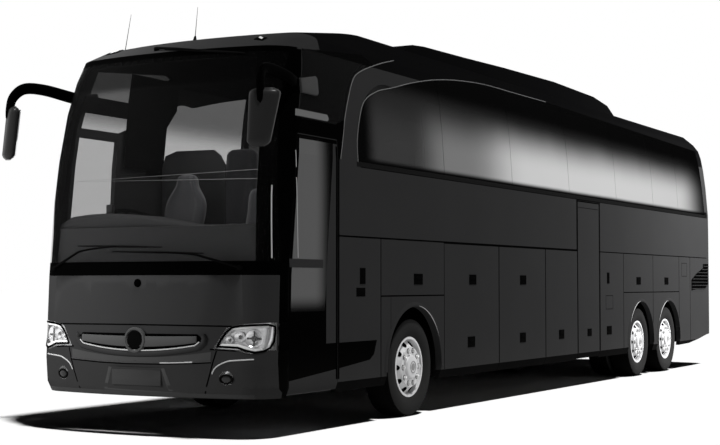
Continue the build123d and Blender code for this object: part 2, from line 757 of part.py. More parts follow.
# ---------------------------------------------------------------- underframe
rail_across, rail_width = 450.0, 100.0
rail_low, rail_high = 750.0, 900.0
floor_plate = 40.0
bulkhead = 20.0
rib_width, rib_height, rib_count = 60.0, 35.0, 8
bearer_width = 60.0
hold_plate = (hold_floor - floor_plate, hold_floor)
mid_gap = (mid_well[0] - liner, mid_well[1] + liner)     # where the middle stairwell sits in the hold
frame_plates = [
    plate((hold_front, mid_gap[0]), (-hold_half, hold_half), hold_plate),
    plate(mid_gap, (-hold_half, well_edge), hold_plate),
    plate((mid_gap[1], hold_rear), (-hold_half, hold_half), hold_plate),
]
for station in (hold_front, hold_rear):
    frame_plates.append(plate((station - bulkhead / 2, station + bulkhead / 2), (-hold_half, hold_half),
                              (hold_floor, saloon_plate[0])))
for start, end in ((300, hold_front - bulkhead / 2), (hold_rear + bulkhead / 2, tail_joint - 40)):
    for way in (1, -1):
        rail = (way * (rail_across - rail_width / 2), way * (rail_across + rail_width / 2))
        frame_plates.append(plate((start, end), rail, (rail_low, rail_high)))
for number in range(rib_count):
    station = hold_front + 100 + number * (hold_rear - hold_front - 200) / (rib_count - 1)
    span = (station - rib_width / 2, station + rib_width / 2)
    in_well = span[1] > mid_gap[0] and span[0] < mid_gap[1]
    frame_plates.append(plate(span, (-hold_half, well_edge if in_well else hold_half),
                              (hold_plate[0] - rib_height, hold_plate[0])))
for station in (330, 1900, 13000):
    span = (station - bearer_width / 2, station + bearer_width / 2)
    between = (-rail_across + rail_width / 2, rail_across - rail_width / 2)
    frame_plates.append(plate(span, between, (rail_low, rail_high)))
# what the cab floor and the saloon floor stand on
for station, top in ((1500, cab_plate[0]), (2300, saloon_plate[0]), (9700, saloon_plate[0]),
                     (11750, saloon_plate[0])):
    span = (station - bearer_width / 2, station + bearer_width / 2)
    over = (-rail_across - rail_width / 2, rail_across + rail_width / 2)
    frame_plates.append(plate(span, over, (rail_high, top)))
keep("underframe", Compound(children=frame_plates))

# ---------------------------------------------------------------- wheel housings
housing_plate = 8.0
housing_inner = 540.0
housing_top = wheel_radius + front_arch_radius + 40
# station from, station to, inner edge of each housing
housing_spans = [
    (front_axle_at - 630, hold_front - 10 - seat_gap),
    (drive_axle_at - 620, tag_axle_at + 620),
]
with BuildPart() as wheel_housings:
    for start, end in housing_spans:
        for way in (1, -1):
            outer_edge = way * (half_width - wall - seat_gap)
            block((start, end), (way * housing_inner, outer_edge), (housing_top, housing_top + housing_plate))
            for station in (start, end - housing_plate):
                span = (station, station + housing_plate)
                block(span, (way * housing_inner, outer_edge), (420, housing_top + 1))
            block((start, end), (way * housing_inner, way * (housing_inner + housing_plate)),
                  (rail_high + seat_gap, housing_top + 1))
    add(inner_trim, mode=Mode.INTERSECT)
keep("wheel_housings", wheel_housings.part)

# ---------------------------------------------------------------- wheels and tyres
wheel_middle = tyre_face - tyre_width / 2
stub_radius = 45.0
stub_clearance = 0.5
stub_tip = tyre_face - 45
hand_holes = 10
hand_hole_circle = 233.0
hand_hole_radius = 27.0


def tyre(station, way, across):
    """A tyre: bead, bulging sidewalls, round shoulders and a slightly crowned tread."""
    half = tyre_width / 2
    with BuildPart() as casing:
        middle = Plane(origin=(at(station), way * across, wheel_radius), x_dir=(0, 1, 0), z_dir=(1, 0, 0))
        bead, bulge, shoulder = half - 40, wheel_radius - 105, (half - 18, wheel_radius - 16)
        with BuildSketch(middle):
            with BuildLine():
                Polyline((-bead, rim_radius + 1), (bead, rim_radius + 1))
                ThreePointArc((bead, rim_radius + 1), (half, bulge), shoulder)
                ThreePointArc(shoulder, (0, wheel_radius), (-shoulder[0], shoulder[1]))
                ThreePointArc((-shoulder[0], shoulder[1]), (-half, bulge), (-bead, rim_radius + 1))
            make_face()
        revolve(axis=Axis((at(station), 0, wheel_radius), (0, 1, 0)))
    return casing.part


def wheel(station, way, twin):
    """A disc wheel with hand holes, a nut ring and a hub that stand out, and a bore for its stub."""
    face = tyre_face - wheel_middle          # outer face, from the tyre's middle
    inboard = -tyre_width / 2 + 30 - (twin_pitch if twin else 0)
    # distance from the tyre's middle, radius
    profile = [
        (inboard, rim_radius), (115, rim_radius), (118, rim_radius + 14), (124, rim_radius + 14),
        (124, rim_radius - 8), (70, rim_radius - 20), (70, 262), (face - 22, 205), (face - 8, 200),
        (face - 8, 122), (face + 14, 112), (face + 22, 60), (face + 22, 0), (stub_tip - wheel_middle + 1, 0),
        (stub_tip - wheel_middle + 1, stub_radius + stub_clearance),
        (inboard + 20, stub_radius + stub_clearance), (inboard + 20, 130), (face - 48, 130), (face - 44, 190),
        (50, 240), (50, rim_radius - 14), (inboard, rim_radius - 14),
    ]
    with BuildPart() as disc:
        with BuildSketch(Plane(origin=(at(station), way * wheel_middle, wheel_radius),
                               x_dir=(0, way, 0), z_dir=(way, 0, 0))):
            with BuildLine():
                Polyline(profile, close=True)
            make_face()
        revolve(axis=Axis((at(station), 0, wheel_radius), (0, 1, 0)))
        with Locations(Location((at(station), way * wheel_middle, wheel_radius), (90, 0, 0))):
            with PolarLocations(hand_hole_circle, hand_holes):
                Cylinder(hand_hole_radius, 400, mode=Mode.SUBTRACT)
    return disc.part


axle_names = [("front", front_axle_at, False), ("drive", drive_axle_at, True), ("tag", tag_axle_at, False)]
for axle, station, twin in axle_names:
    for way, side_name in ((1, "left"), (-1, "right")):
        casing = tyre(station, way, wheel_middle)
        if twin:
            casing = Compound(children=[casing, tyre(station, way, wheel_middle - twin_pitch)])
        keep(f"tyre_{axle}_{side_name}", casing)
        keep(f"wheel_{axle}_{side_name}", wheel(station, way, twin))

# ---------------------------------------------------------------- axles, knuckles and air springs
kingpin_across = 900.0
kingpin_radius = 20.0
boss_radius = 48.0
ear_plate = 40.0
ear_half = 65.0
ear_low, ear_high = wheel_radius - 110, wheel_radius + 110
steering_arm_span = (front_axle_at + 30, front_axle_at + 210)


def kingpin_ends(way):
    """Lower and upper end of a kingpin."""
    return [(at(front_axle_at), way * kingpin_across, height) for height in (ear_low, ear_high)]


with BuildPart() as front_axle:
    block((front_axle_at - 60, front_axle_at + 60), (-kingpin_across + 80, kingpin_across - 80),
          (wheel_radius - 110, wheel_radius - 10))
    for way in (1, -1):
        block((front_axle_at - ear_half, front_axle_at + ear_half),
              (way * (kingpin_across - 110), way * (kingpin_across - boss_radius - 8)), (ear_low, ear_high))
        for low in (ear_low, ear_high - ear_plate):
            block((front_axle_at - ear_half, front_axle_at + ear_half),
                  (way * (kingpin_across - 110), way * (kingpin_across + 22)), (low, low + ear_plate))
        rod(*kingpin_ends(way), kingpin_radius)
keep("front_axle", front_axle.part)

for way, side_name in ((1, "left"), (-1, "right")):
    with BuildPart() as knuckle:
        rod((at(front_axle_at), way * kingpin_across, ear_low + ear_plate + seat_gap),
            (at(front_axle_at), way * kingpin_across, ear_high - ear_plate - seat_gap), boss_radius)
        rod((at(front_axle_at), way * (kingpin_across + 20), wheel_radius),
            (at(front_axle_at), way * stub_tip, wheel_radius), stub_radius)
        rod(*kingpin_ends(way), kingpin_radius + seat_gap, mode=Mode.SUBTRACT)
        # steering arm towards the rear
        block(steering_arm_span, (way * (kingpin_across + 45), way * (kingpin_across + 85)),
              (wheel_radius - 30, wheel_radius))
    keep(f"knuckle_{side_name}", knuckle.part)

drive_tube, tag_tube, carrier_radius = 85.0, 65.0, 200.0
with BuildPart() as drive_axle:
    for reach, radius in ((600, drive_tube), (stub_tip, stub_radius)):
        rod((at(drive_axle_at), -reach, wheel_radius), (at(drive_axle_at), reach, wheel_radius), radius)
    with Locations((at(drive_axle_at), 0, wheel_radius)):
        Sphere(carrier_radius)
keep("drive_axle", drive_axle.part)

with BuildPart() as tag_axle:
    for reach, radius in ((880, tag_tube), (stub_tip, stub_radius)):
        rod((at(tag_axle_at), -reach, wheel_radius), (at(tag_axle_at), reach, wheel_radius), radius)
keep("tag_axle", tag_axle.part)

# station, radius, top of the axle under the spring
spring_seats = [
    (front_axle_at, wheel_radius - 10), (drive_axle_at, wheel_radius + drive_tube),
    (tag_axle_at, wheel_radius + tag_tube),
]
spring_radius = 105.0
with BuildPart() as air_springs:
    for station, low in spring_seats:
        for way in (1, -1):
            with Locations((at(station), way * rail_across, (low + rail_low) / 2)):
                Cylinder(spring_radius, rail_low - low - 2 * seat_gap)
keep("air_springs", air_springs.part)

# ---------------------------------------------------------------- engine
engine_size = (1650.0, 850.0, 900.0)         # length, width, height of the block
with BuildPart() as engine:
    engine_low = rail_high + seat_gap - 480
    with Locations((at(tail_joint - 100 - engine_size[0] / 2), 0, engine_low + engine_size[2] / 2)):
        Box(engine_size[0], 2 * (rail_across - rail_width / 2) - 2 * seat_gap, engine_size[2])
    block((12960, 13040), (-rail_across, rail_across), (0, rail_high + seat_gap), mode=Mode.SUBTRACT)
keep("engine", engine.part)

# ---------------------------------------------------------------- driver's place
driver_across = -620.0
wheel_at, wheel_height, steering_radius, steering_rim = 820.0, 1900.0, 230.0, 16.0
column_tilt = 25.0
column_length = 420.0
axis_up = Vector(-sin(radians(column_tilt)), 0, cos(radians(column_tilt)))
hub_point = Vector(at(wheel_at), driver_across, wheel_height)

with BuildPart() as steering_wheel:
    with Locations(Plane(origin=hub_point, z_dir=axis_up).location):
        Torus(steering_radius, steering_rim)
        Cylinder(50, 40)
        with PolarLocations(steering_radius / 2, 3):
            Box(steering_radius, 30, 14)
keep("steering_wheel", steering_wheel.part)

dash_front, dash_back = 260.0, 700.0
dash_top = 1820.0
with BuildPart() as dashboard:
    with BuildSketch(side_plane(1, 1300)):
        with BuildLine():
            Polyline([(at(dash_front), cab_floor + seat_gap), (at(dash_front), dash_top),
                      (at(480), dash_top + 20), (at(dash_back), dash_top - 80),
                      (at(dash_back - 40), dash_top - 280), (at(480), dash_top - 380),
                      (at(480), cab_floor + seat_gap)], close=True)
        make_face()
    extrude(amount=2600)
    # the stairwell stays clear
    block((door_from - 30, door_to), (front_well_inner, 1300), (0, 3000), mode=Mode.SUBTRACT)
    column_top = hub_point - axis_up * (20 + seat_gap)
    rod(tuple(column_top), tuple(column_top - axis_up * column_length), 38)
    add(inner_trim, mode=Mode.INTERSECT)
keep("dashboard", dashboard.part)

# ---------------------------------------------------------------- seats
seat_pitch = 790.0
seat_rows = 13
first_row = 2550.0
bench_inner, bench_outer = 260.0, 1180.0
cushion_height, back_height = 440.0, 1180.0
cushion_depth, seat_plate, back_thick = 450.0, 110.0, 110.0


def seat(station, inner_edge, outer_edge, floor):
    """One seat or bench: plinth, cushion and a raked back with its headrest."""
    with BuildPart() as bench:
        middle = (inner_edge + outer_edge) / 2
        block((station + 60, station + 330), (middle - 100, middle + 100),
              (floor + seat_gap, floor + cushion_height - 90))
        block((station, station + cushion_depth), (inner_edge, outer_edge),
              (floor + cushion_height - seat_plate, floor + cushion_height))
        with BuildSketch(Plane(origin=(0, outer_edge, 0), x_dir=(1, 0, 0), z_dir=(0, -1, 0))):
            with BuildLine():
                rake = 160
                low, high = floor + cushion_height - seat_plate, floor + back_height
                Polyline([(at(station + cushion_depth - back_thick), low), (at(station + cushion_depth), low),
                          (at(station + cushion_depth + rake), high),
                          (at(station + cushion_depth + rake - back_thick), high)], close=True)
            make_face()
        extrude(amount=outer_edge - inner_edge)
    return bench.part


benches = []
for row in range(seat_rows):
    station = first_row + row * seat_pitch
    for way in (1, -1):
        if way > 0 and mid_from - 500 < station < mid_to + 60:
            continue
        benches.append(seat(station, *sorted((way * bench_inner, way * bench_outer)), saloon_floor))
benches.append(seat(1150, 60, 500, cab_floor))
keep("passenger_seats", Compound(children=benches))
keep("driver_seat", seat(1150, driver_across - 250, driver_across + 250, cab_floor))
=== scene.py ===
"""Finish and small parts of a high-deck three-axle touring coach.

Metres, +X forward, +Y to the coach's left, +Z up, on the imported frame.  Places along the coach
are stations: the distance back from the foremost point of the body.
"""

import json
from math import cos, pi, radians, sin, sqrt

import bmesh
import bpy
import numpy as np
from mathutils import Matrix, Vector
from mathutils.bvhtree import BVHTree

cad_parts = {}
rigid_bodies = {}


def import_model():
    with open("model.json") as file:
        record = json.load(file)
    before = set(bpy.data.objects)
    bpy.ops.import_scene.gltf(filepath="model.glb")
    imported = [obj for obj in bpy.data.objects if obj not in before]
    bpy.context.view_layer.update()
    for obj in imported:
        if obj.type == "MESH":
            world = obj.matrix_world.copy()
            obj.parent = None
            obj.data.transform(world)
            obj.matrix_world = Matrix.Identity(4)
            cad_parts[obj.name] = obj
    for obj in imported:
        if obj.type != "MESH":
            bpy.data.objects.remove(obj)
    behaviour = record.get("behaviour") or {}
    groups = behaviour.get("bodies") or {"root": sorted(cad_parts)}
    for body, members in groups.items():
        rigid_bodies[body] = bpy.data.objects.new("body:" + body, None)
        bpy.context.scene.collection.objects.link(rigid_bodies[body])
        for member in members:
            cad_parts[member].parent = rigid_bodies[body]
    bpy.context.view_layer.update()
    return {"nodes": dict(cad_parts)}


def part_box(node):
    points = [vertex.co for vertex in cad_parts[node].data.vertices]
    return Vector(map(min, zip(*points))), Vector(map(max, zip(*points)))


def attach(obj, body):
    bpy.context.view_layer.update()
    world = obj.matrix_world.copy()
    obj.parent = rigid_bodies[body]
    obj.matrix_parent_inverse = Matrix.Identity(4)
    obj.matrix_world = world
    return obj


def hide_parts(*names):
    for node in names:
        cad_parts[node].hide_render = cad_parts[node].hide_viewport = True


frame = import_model()

# ---------------------------------------------------------------- driving dimensions
nose_x = 6.9                     # the body's foremost point
half_width = 1.275
waist = 1.746                    # line under the window band
wheel_radius = 0.490
tyre_face = 1.235                # outer face of the tyres, from the middle
axle_stations = {"front": 2.857, "drive": 10.144, "tag": 11.494}
sides = {"left": 1, "right": -1}


def at(station):
    """X of a station."""
    return nose_x - station


# ---------------------------------------------------------------- camera, light and floor
camera_place = Vector((16.981, 7.736, 1.310))
camera_heading, camera_rise = radians(28.70), radians(2.455)
camera_lens, camera_sensor = 72.35, 36.0
ambient_level, mirrored_level = 0.0015, 0.25
floor_half = 150


def make_camera():
    """Camera low at the front left corner, as a person standing there sees the coach."""
    data = bpy.data.cameras.new("camera")
    data.lens, data.sensor_width = camera_lens, camera_sensor
    camera = bpy.data.objects.new("camera", data)
    bpy.context.collection.objects.link(camera)
    ahead = Vector((-cos(camera_heading) * cos(camera_rise), -sin(camera_heading) * cos(camera_rise),
                    sin(camera_rise)))
    camera.location = camera_place
    camera.rotation_mode = "QUATERNION"
    camera.rotation_quaternion = ahead.to_track_quat("-Z", "Y")
    data.clip_end = 500
    bpy.context.scene.camera = camera


def add_math(tree, operation, *values):
    """The result of a Math node; each value is a number or the socket that feeds it."""
    node = tree.nodes.new("ShaderNodeMath")
    node.operation = operation
    for socket, value in zip(node.inputs, values):
        if isinstance(value, bpy.types.NodeSocket):
            tree.links.new(value, socket)
        else:
            socket.default_value = value
    return node.outputs[0]


def set_sockets(node, values):
    """Sets sockets of a node, by name."""
    for label, value in values.items():
        node.inputs[label].default_value = value


def seen_rays(tree, mirrored):
    """1 on rays that show the white surroundings by camera or through glass, less on mirrored rays."""
    path = tree.nodes.new("ShaderNodeLightPath").outputs
    dimmed = add_math(tree, "MULTIPLY", path["Is Glossy Ray"], mirrored)
    seen = add_math(tree, "MAXIMUM", path["Is Camera Ray"], dimmed)
    return add_math(tree, "MAXIMUM", seen, path["Is Transmission Ray"])


def make_world(ambient, mirrored):
    """White surroundings that light the coach at the ambient level and show in mirrors at another."""
    world = bpy.data.worlds.new("studio")
    bpy.context.scene.world = world
    world.use_nodes = True
    tree = world.node_tree
    ground = tree.nodes["Background"]
    ground.inputs["Color"].default_value = (1, 1, 1, 1)
    strength = tree.nodes.new("ShaderNodeMapRange")
    strength.inputs["To Min"].default_value = ambient
    tree.links.new(seen_rays(tree, mirrored), strength.inputs["Value"])
    tree.links.new(strength.outputs[0], ground.inputs["Strength"])


def add_lamp(name, kind, place, aim, energy, size=1.0, size_y=None):
    """A lamp at a place, turned towards a point."""
    data = bpy.data.lights.new(name, kind)
    data.energy = energy
    if kind == "SUN":
        data.angle = size
    else:
        data.shape = "RECTANGLE"
        data.size, data.size_y = size, size_y or size
    lamp = bpy.data.objects.new(name, data)
    lamp.visible_camera = False
    lamp.visible_glossy = kind == "SUN"      # panels light the coach but don't show as patches in its gloss
    bpy.context.collection.objects.link(lamp)
    lamp.location = place
    lamp.rotation_mode = "QUATERNION"
    lamp.rotation_quaternion = (Vector(aim) - Vector(place)).to_track_quat("-Z", "Y")
    return lamp


def make_floor():
    """A plain white floor that keeps the coach's shadow."""
    mesh = bpy.data.meshes.new("floor")
    mesh.from_pydata([(x * floor_half, y * floor_half, 0) for x, y in ((-1, -1), (1, -1), (1, 1), (-1, 1))],
                     [], [(0, 1, 2, 3)])
    floor = bpy.data.objects.new("floor", mesh)
    bpy.context.collection.objects.link(floor)
    material = bpy.data.materials.new("white_floor")
    material.use_nodes = True
    set_sockets(material.node_tree.nodes["Principled BSDF"],
                {"Base Color": (0.95, 0.95, 0.95, 1), "Roughness": 1, "Specular IOR Level": 0})
    mesh.materials.append(material)


def aim_light(lamp, items, state):
    """Shines a lamp on nothing but some objects (INCLUDE), or on all but them (EXCLUDE)."""
    receivers = bpy.data.collections.new(f"{lamp.name}_receivers")
    lamp.light_linking.receiver_collection = receivers
    for item in items:
        receivers.objects.link(item)
    for entry in receivers.collection_objects:
        entry.light_linking.link_state = state


def spare_floor(lamp, *others):
    """Keeps a lamp's light off the floor, so that the coach's shadow stays dark."""
    aim_light(lamp, [bpy.data.objects["floor"], *others], "EXCLUDE")


bpy.context.scene.view_settings.view_transform = "Standard"
make_camera()
make_world(ambient_level, mirrored_level)
make_floor()
add_lamp("sky_panel", "SUN", (1.5, 5.0, 15), (0, 0, 0), 3.55, radians(4))
# direction from the coach, strength: soft light from all round that leaves the floor's shadow alone
fills = {"fill_front": ((16, -3, 4), 0.12), "fill_left": ((3, 16, 4), 0.06), "fill_right": ((4, -16, 6), 0.9),
         "fill_rear": ((-16, 0, 6), 1.0)}
for lamp_name, (lamp_place, lamp_level) in fills.items():
    spare_floor(add_lamp(lamp_name, "SUN", lamp_place, (0, 0, 1), lamp_level, radians(70)))
spare_floor(add_lamp("front_panel", "AREA", (9.0, -1.8, 1.8), (6.9, -0.7, 1.35), 150, 1.0, 1.4))
spare_floor(add_lamp("brow_panel", "AREA", (7.0, -1.5, 4.4), (5.95, -0.7, 3.55), 95, 0.6))
spare_floor(add_lamp("cab_light", "AREA", (5.6, 0, 3.3), (5.6, 0, 1.0), 30, 1.4, 1.8))
spare_floor(add_lamp("saloon_light", "AREA", (-1.0, 0, 3.45), (-1.0, 0, 1.5), 60, 10, 0.8))

# ---------------------------------------------------------------- shared shader effects


def node_group(name, inputs, outputs):
    """A shader group with named sockets: (socket name, kind, value)."""
    group = bpy.data.node_groups.new(name, "ShaderNodeTree")
    for label, kind, value in inputs:
        socket = group.interface.new_socket(label, in_out="INPUT", socket_type=kind)
        if value is not None:
            socket.default_value = value
    for label, kind in outputs:
        group.interface.new_socket(label, in_out="OUTPUT", socket_type=kind)
    return group, group.nodes.new("NodeGroupInput"), group.nodes.new("NodeGroupOutput")


def make_relief():
    """Fine uneven relief, as orange peel, moulding grain or cast skin."""
    group, start, end = node_group(
        "fine_relief",
        [("Scale", "NodeSocketFloat", 100.0), ("Strength", "NodeSocketFloat", 0.1),
         ("Distance", "NodeSocketFloat", 0.001)],
        [("Normal", "NodeSocketVector"), ("Grain", "NodeSocketFloat")])
    nodes, links = group.nodes, group.links
    place = nodes.new("ShaderNodeTexCoord")
    noise = nodes.new("ShaderNodeTexNoise")
    noise.inputs["Detail"].default_value = 3
    bump = nodes.new("ShaderNodeBump")
    links.new(place.outputs["Object"], noise.inputs["Vector"])
    links.new(start.outputs["Scale"], noise.inputs["Scale"])
    links.new(start.outputs["Strength"], bump.inputs["Strength"])
    links.new(start.outputs["Distance"], bump.inputs["Distance"])
    links.new(noise.outputs["Fac"], bump.inputs["Height"])
    links.new(bump.outputs["Normal"], end.inputs["Normal"])
    links.new(noise.outputs["Fac"], end.inputs["Grain"])
    return group


def make_tone():
    """A colour that drifts a little over the surface and gathers dust towards the ground."""
    group, start, end = node_group(
        "road_tone",
        [("Colour", "NodeSocketColor", (0.1, 0.1, 0.1, 1)), ("Dust", "NodeSocketColor", (0.2, 0.19, 0.17, 1)),
         ("Drift", "NodeSocketFloat", 0.1), ("Dust Height", "NodeSocketFloat", 0.6),
         ("Dust Amount", "NodeSocketFloat", 0.1)],
        [("Colour", "NodeSocketColor"), ("Dust Mask", "NodeSocketFloat")])
    nodes, links = group.nodes, group.links
    place = nodes.new("ShaderNodeTexCoord")
    noise = nodes.new("ShaderNodeTexNoise")
    set_sockets(noise, {"Scale": 1.7, "Detail": 5})
    links.new(place.outputs["Object"], noise.inputs["Vector"])
    swing = add_math(group, "SUBTRACT", noise.outputs["Fac"], 0.5)
    drift = add_math(group, "MULTIPLY_ADD", swing, start.outputs["Drift"], 1.0)
    shade = nodes.new("ShaderNodeVectorMath")
    shade.operation = "SCALE"
    links.new(start.outputs["Colour"], shade.inputs[0])
    links.new(drift, shade.inputs["Scale"])
    split = nodes.new("ShaderNodeSeparateXYZ")
    links.new(place.outputs["Object"], split.inputs[0])
    low = nodes.new("ShaderNodeMapRange")
    low.interpolation_type = "SMOOTHSTEP"
    set_sockets(low, {"To Min": 1, "To Max": 0})
    links.new(split.outputs["Z"], low.inputs["Value"])
    links.new(start.outputs["Dust Height"], low.inputs["From Max"])
    patchy = add_math(group, "MULTIPLY", low.outputs[0], noise.outputs["Fac"])
    amount = add_math(group, "MULTIPLY", patchy, start.outputs["Dust Amount"])
    mix = nodes.new("ShaderNodeMix")
    mix.data_type = "RGBA"
    links.new(amount, mix.inputs[0])
    links.new(shade.outputs[0], mix.inputs[6])
    links.new(start.outputs["Dust"], mix.inputs[7])
    links.new(mix.outputs[2], end.inputs["Colour"])
    links.new(amount, end.inputs["Dust Mask"])
    return group


relief = make_relief()
tone = make_tone()


def finish_of(name, colour, roughness, metallic=0.0, specular=0.5, grain=(400, 0.05), drift=0.12,
              dust=0.15, dust_height=0.9, sheen=0.0):
    """A material from the two shared effects: colour with drift and dust, and fine relief."""
    material = bpy.data.materials.new(name)
    material.use_nodes = True
    nodes, links = material.node_tree.nodes, material.node_tree.links
    surface = nodes["Principled BSDF"]
    set_sockets(surface, {"Metallic": metallic, "Specular IOR Level": specular, "Coat Roughness": 0.08,
                          "Sheen Weight": sheen})
    shade = nodes.new("ShaderNodeGroup")
    shade.node_tree = tone
    set_sockets(shade, {"Colour": (*colour, 1), "Drift": drift, "Dust Amount": dust,
                        "Dust Height": dust_height})
    skin = nodes.new("ShaderNodeGroup")
    skin.node_tree = relief
    set_sockets(skin, {"Scale": grain[0], "Strength": grain[1]})
    rough = nodes.new("ShaderNodeMapRange")
    set_sockets(rough, {"To Min": roughness * 0.85, "To Max": min(1, roughness * 1.15)})
    links.new(skin.outputs["Grain"], rough.inputs["Value"])
    links.new(rough.outputs[0], surface.inputs["Roughness"])
    links.new(shade.outputs["Colour"], surface.inputs["Base Color"])
    links.new(skin.outputs["Normal"], surface.inputs["Normal"])
    return material


def grey(level):
    """A neutral colour."""
    return level, level, level


body_paint = finish_of("charcoal_satin_paint", (0.0185, 0.0185, 0.0187), 0.38, specular=0.0, grain=(90, 0.02),
                       dust=0.03)
# painted shade: the charcoal paint much darker, on the roof, the roof pod, the sides' top and crown, a line under the
# side glass and the skirts
shade_paint = finish_of("dark_roof_paint", (0.0026, 0.0026, 0.0027), 0.40, specular=0.0, grain=(90, 0.02),
                       dust=0.02)
# painted highlight: light grey beads that stand for lit creases and edges
highlight_paint = finish_of("lit_crease_paint", grey(0.28), 0.35, specular=0.1, grain=(90, 0.02))
gloss_black = finish_of("gloss_black_panel", grey(0.0005), 0.15, specular=0.0003, grain=(60, 0.02),
                        dust=0.02)
black_plastic = finish_of("moulded_black_plastic", grey(0.0016), 0.55, specular=0.0, grain=(700, 0.25),
                          dust=0.03)
seal_rubber = finish_of("black_seal_rubber", grey(0.002), 0.7, specular=0.02, grain=(500, 0.2), dust=0.02)
# black of open joints and slots; also painted shade in the grille mouth, behind the louvre blades, in the wheels' hand
# holes and beside the door
joint_and_shade_black = finish_of("open_joint", grey(0.0006), 0.9, specular=0.0, dust=0)
tyre_rubber = finish_of("tyre_sidewall_rubber", grey(0.016), 0.75, specular=0.0, grain=(300, 0.3), dust=0.02)
# painted shade: the tyre rubber much darker, on the treads and tread lugs
tread_shade_rubber = finish_of("tyre_tread_rubber", grey(0.0016), 0.9, specular=0.0, grain=(300, 0.4), dust=0.01)
wheel_silver = finish_of("silver_wheel_enamel", (0.48, 0.48, 0.485), 0.50, metallic=0.10, specular=0.1,
                         grain=(500, 0.06),
                         dust=0.10)
steel = finish_of("bright_steel", grey(0.60), 0.40, metallic=0.7, grain=(600, 0.05), dust=0.05)
chrome = finish_of("bright_trim", (0.80, 0.80, 0.81), 0.10, metallic=1.0, grain=(300, 0.01), dust=0.0)
# half-metallic bright grey: the grille lip's trim, lightened into a painted highlight, and a painted highlight on the
# pillar beside the windscreen
bright_lip_and_highlight = finish_of("dull_bright_lip", grey(0.42), 0.30, metallic=0.5, grain=(40, 0.60), dust=0.0)
bar_grey = finish_of("grille_bar_grey", grey(0.040), 0.35, specular=0.001, grain=(60, 0.06), dust=0.0)
# painted highlight: a lighter grey for the bumper's crease, shelf and plate recess edges
shelf_highlight_grey = finish_of("lit_shelf_paint", grey(0.034), 0.35, specular=0.0, grain=(60, 0.06), dust=0.0)
plate_grey = finish_of("blank_plate_grey", grey(0.023), 0.5, specular=0.05, grain=(200, 0.05), dust=0.0)
mirror_shell = finish_of("mirror_shell_black", grey(0.011), 0.30, specular=0.10, grain=(120, 0.04), dust=0)
lamp_silver = finish_of("lamp_reflector", (0.72, 0.72, 0.73), 0.22, metallic=0.70, grain=(38, 0.85), dust=0)
fog_glass = finish_of("smoked_fog_glass", grey(0.012), 0.12, specular=0.2, grain=(140, 0.20), dust=0)
lens_grey = finish_of("lamp_lens_grey", grey(0.45), 0.20, specular=0.3, grain=(140, 0.30), dust=0)
# grey of the strip over the door, and a painted highlight along the glass's arch and the crest
header_and_highlight_grey = finish_of("header_strip_grey", grey(0.10), 0.35, specular=0.0, grain=(60, 0.06), dust=0.0)
cap_grey = finish_of("wheel_cap_grey", grey(0.18), 0.45, metallic=0.1, specular=0.1, grain=(400, 0.05),
                     dust=0.05)
chassis_paint = finish_of("chassis_paint", (0.020, 0.020, 0.021), 0.6, grain=(150, 0.3), dust=0.5,
                          dust_height=1.2)
axle_iron = finish_of("cast_axle_iron", (0.035, 0.034, 0.033), 0.65, metallic=0.6, grain=(220, 0.5), dust=0.5)
engine_iron = finish_of("engine_enamel", (0.06, 0.065, 0.07), 0.5, metallic=0.3, grain=(120, 0.4), dust=0.3)
bellows_rubber = finish_of("bellows_rubber", grey(0.010), 0.6, grain=(260, 0.3), dust=0.4)
floor_cover = finish_of("ribbed_floor_cover", (0.055, 0.055, 0.058), 0.7, grain=(500, 0.3), dust=0.1)
dash_plastic = finish_of("soft_dash_plastic", (0.018, 0.018, 0.0185), 0.6, grain=(900, 0.35), dust=0.0)
seat_cloth = finish_of("woven_seat_cloth", (0.040, 0.040, 0.043), 0.9, grain=(1300, 0.5), dust=0.0, sheen=0.3)
tail_red = finish_of("red_lamp_glass", (0.22, 0.006, 0.006), 0.12, specular=0.6, grain=(200, 0.02), dust=0)


def glass_finish(name, colour, roughness, alpha, fades=(), specular=0.3):
    """See-through glass.  Each fade is (axis, from, to, colour or None, alpha): along an object axis the glass
    turns into that colour and cover, which paints reflection and shade into the glass."""
    material = bpy.data.materials.new(name)
    material.use_nodes = True
    nodes, links = material.node_tree.nodes, material.node_tree.links
    surface = nodes["Principled BSDF"]
    set_sockets(surface, {"Roughness": roughness, "Specular IOR Level": specular})
    place = nodes.new("ShaderNodeTexCoord")
    split = nodes.new("ShaderNodeSeparateXYZ")
    links.new(place.outputs["Object"], split.inputs[0])
    smear = nodes.new("ShaderNodeTexNoise")
    set_sockets(smear, {"Scale": 0.8, "Detail": 2})
    links.new(place.outputs["Object"], smear.inputs["Vector"])
    now_colour, now_alpha = None, None
    for axis, start, stop, tint, cover in fades:
        band = nodes.new("ShaderNodeMapRange")
        band.interpolation_type = "SMOOTHERSTEP"
        set_sockets(band, {"From Min": start, "From Max": stop})
        wave = add_math(material.node_tree, "MULTIPLY_ADD", smear.outputs["Fac"], 0.12 * abs(stop - start),
                        split.outputs[axis])
        links.new(wave, band.inputs["Value"])
        mixed = nodes.new("ShaderNodeMix")
        mixed.data_type = "RGBA"
        links.new(band.outputs[0], mixed.inputs[0])
        if now_colour is None:
            mixed.inputs[6].default_value = (*colour, 1)
        else:
            links.new(now_colour, mixed.inputs[6])
        mixed.inputs[7].default_value = (*tint, 1)
        now_colour = mixed.outputs[2]
        through = nodes.new("ShaderNodeMix")
        links.new(band.outputs[0], through.inputs[0])
        if now_alpha is None:
            through.inputs[2].default_value = alpha
        else:
            links.new(now_alpha, through.inputs[2])
        through.inputs[3].default_value = cover
        now_alpha = through.outputs[0]
    if now_colour is None:
        surface.inputs["Base Color"].default_value = (*colour, 1)
        surface.inputs["Alpha"].default_value = alpha
    else:
        links.new(now_colour, surface.inputs["Base Color"])
        links.new(now_alpha, surface.inputs["Alpha"])
    return material
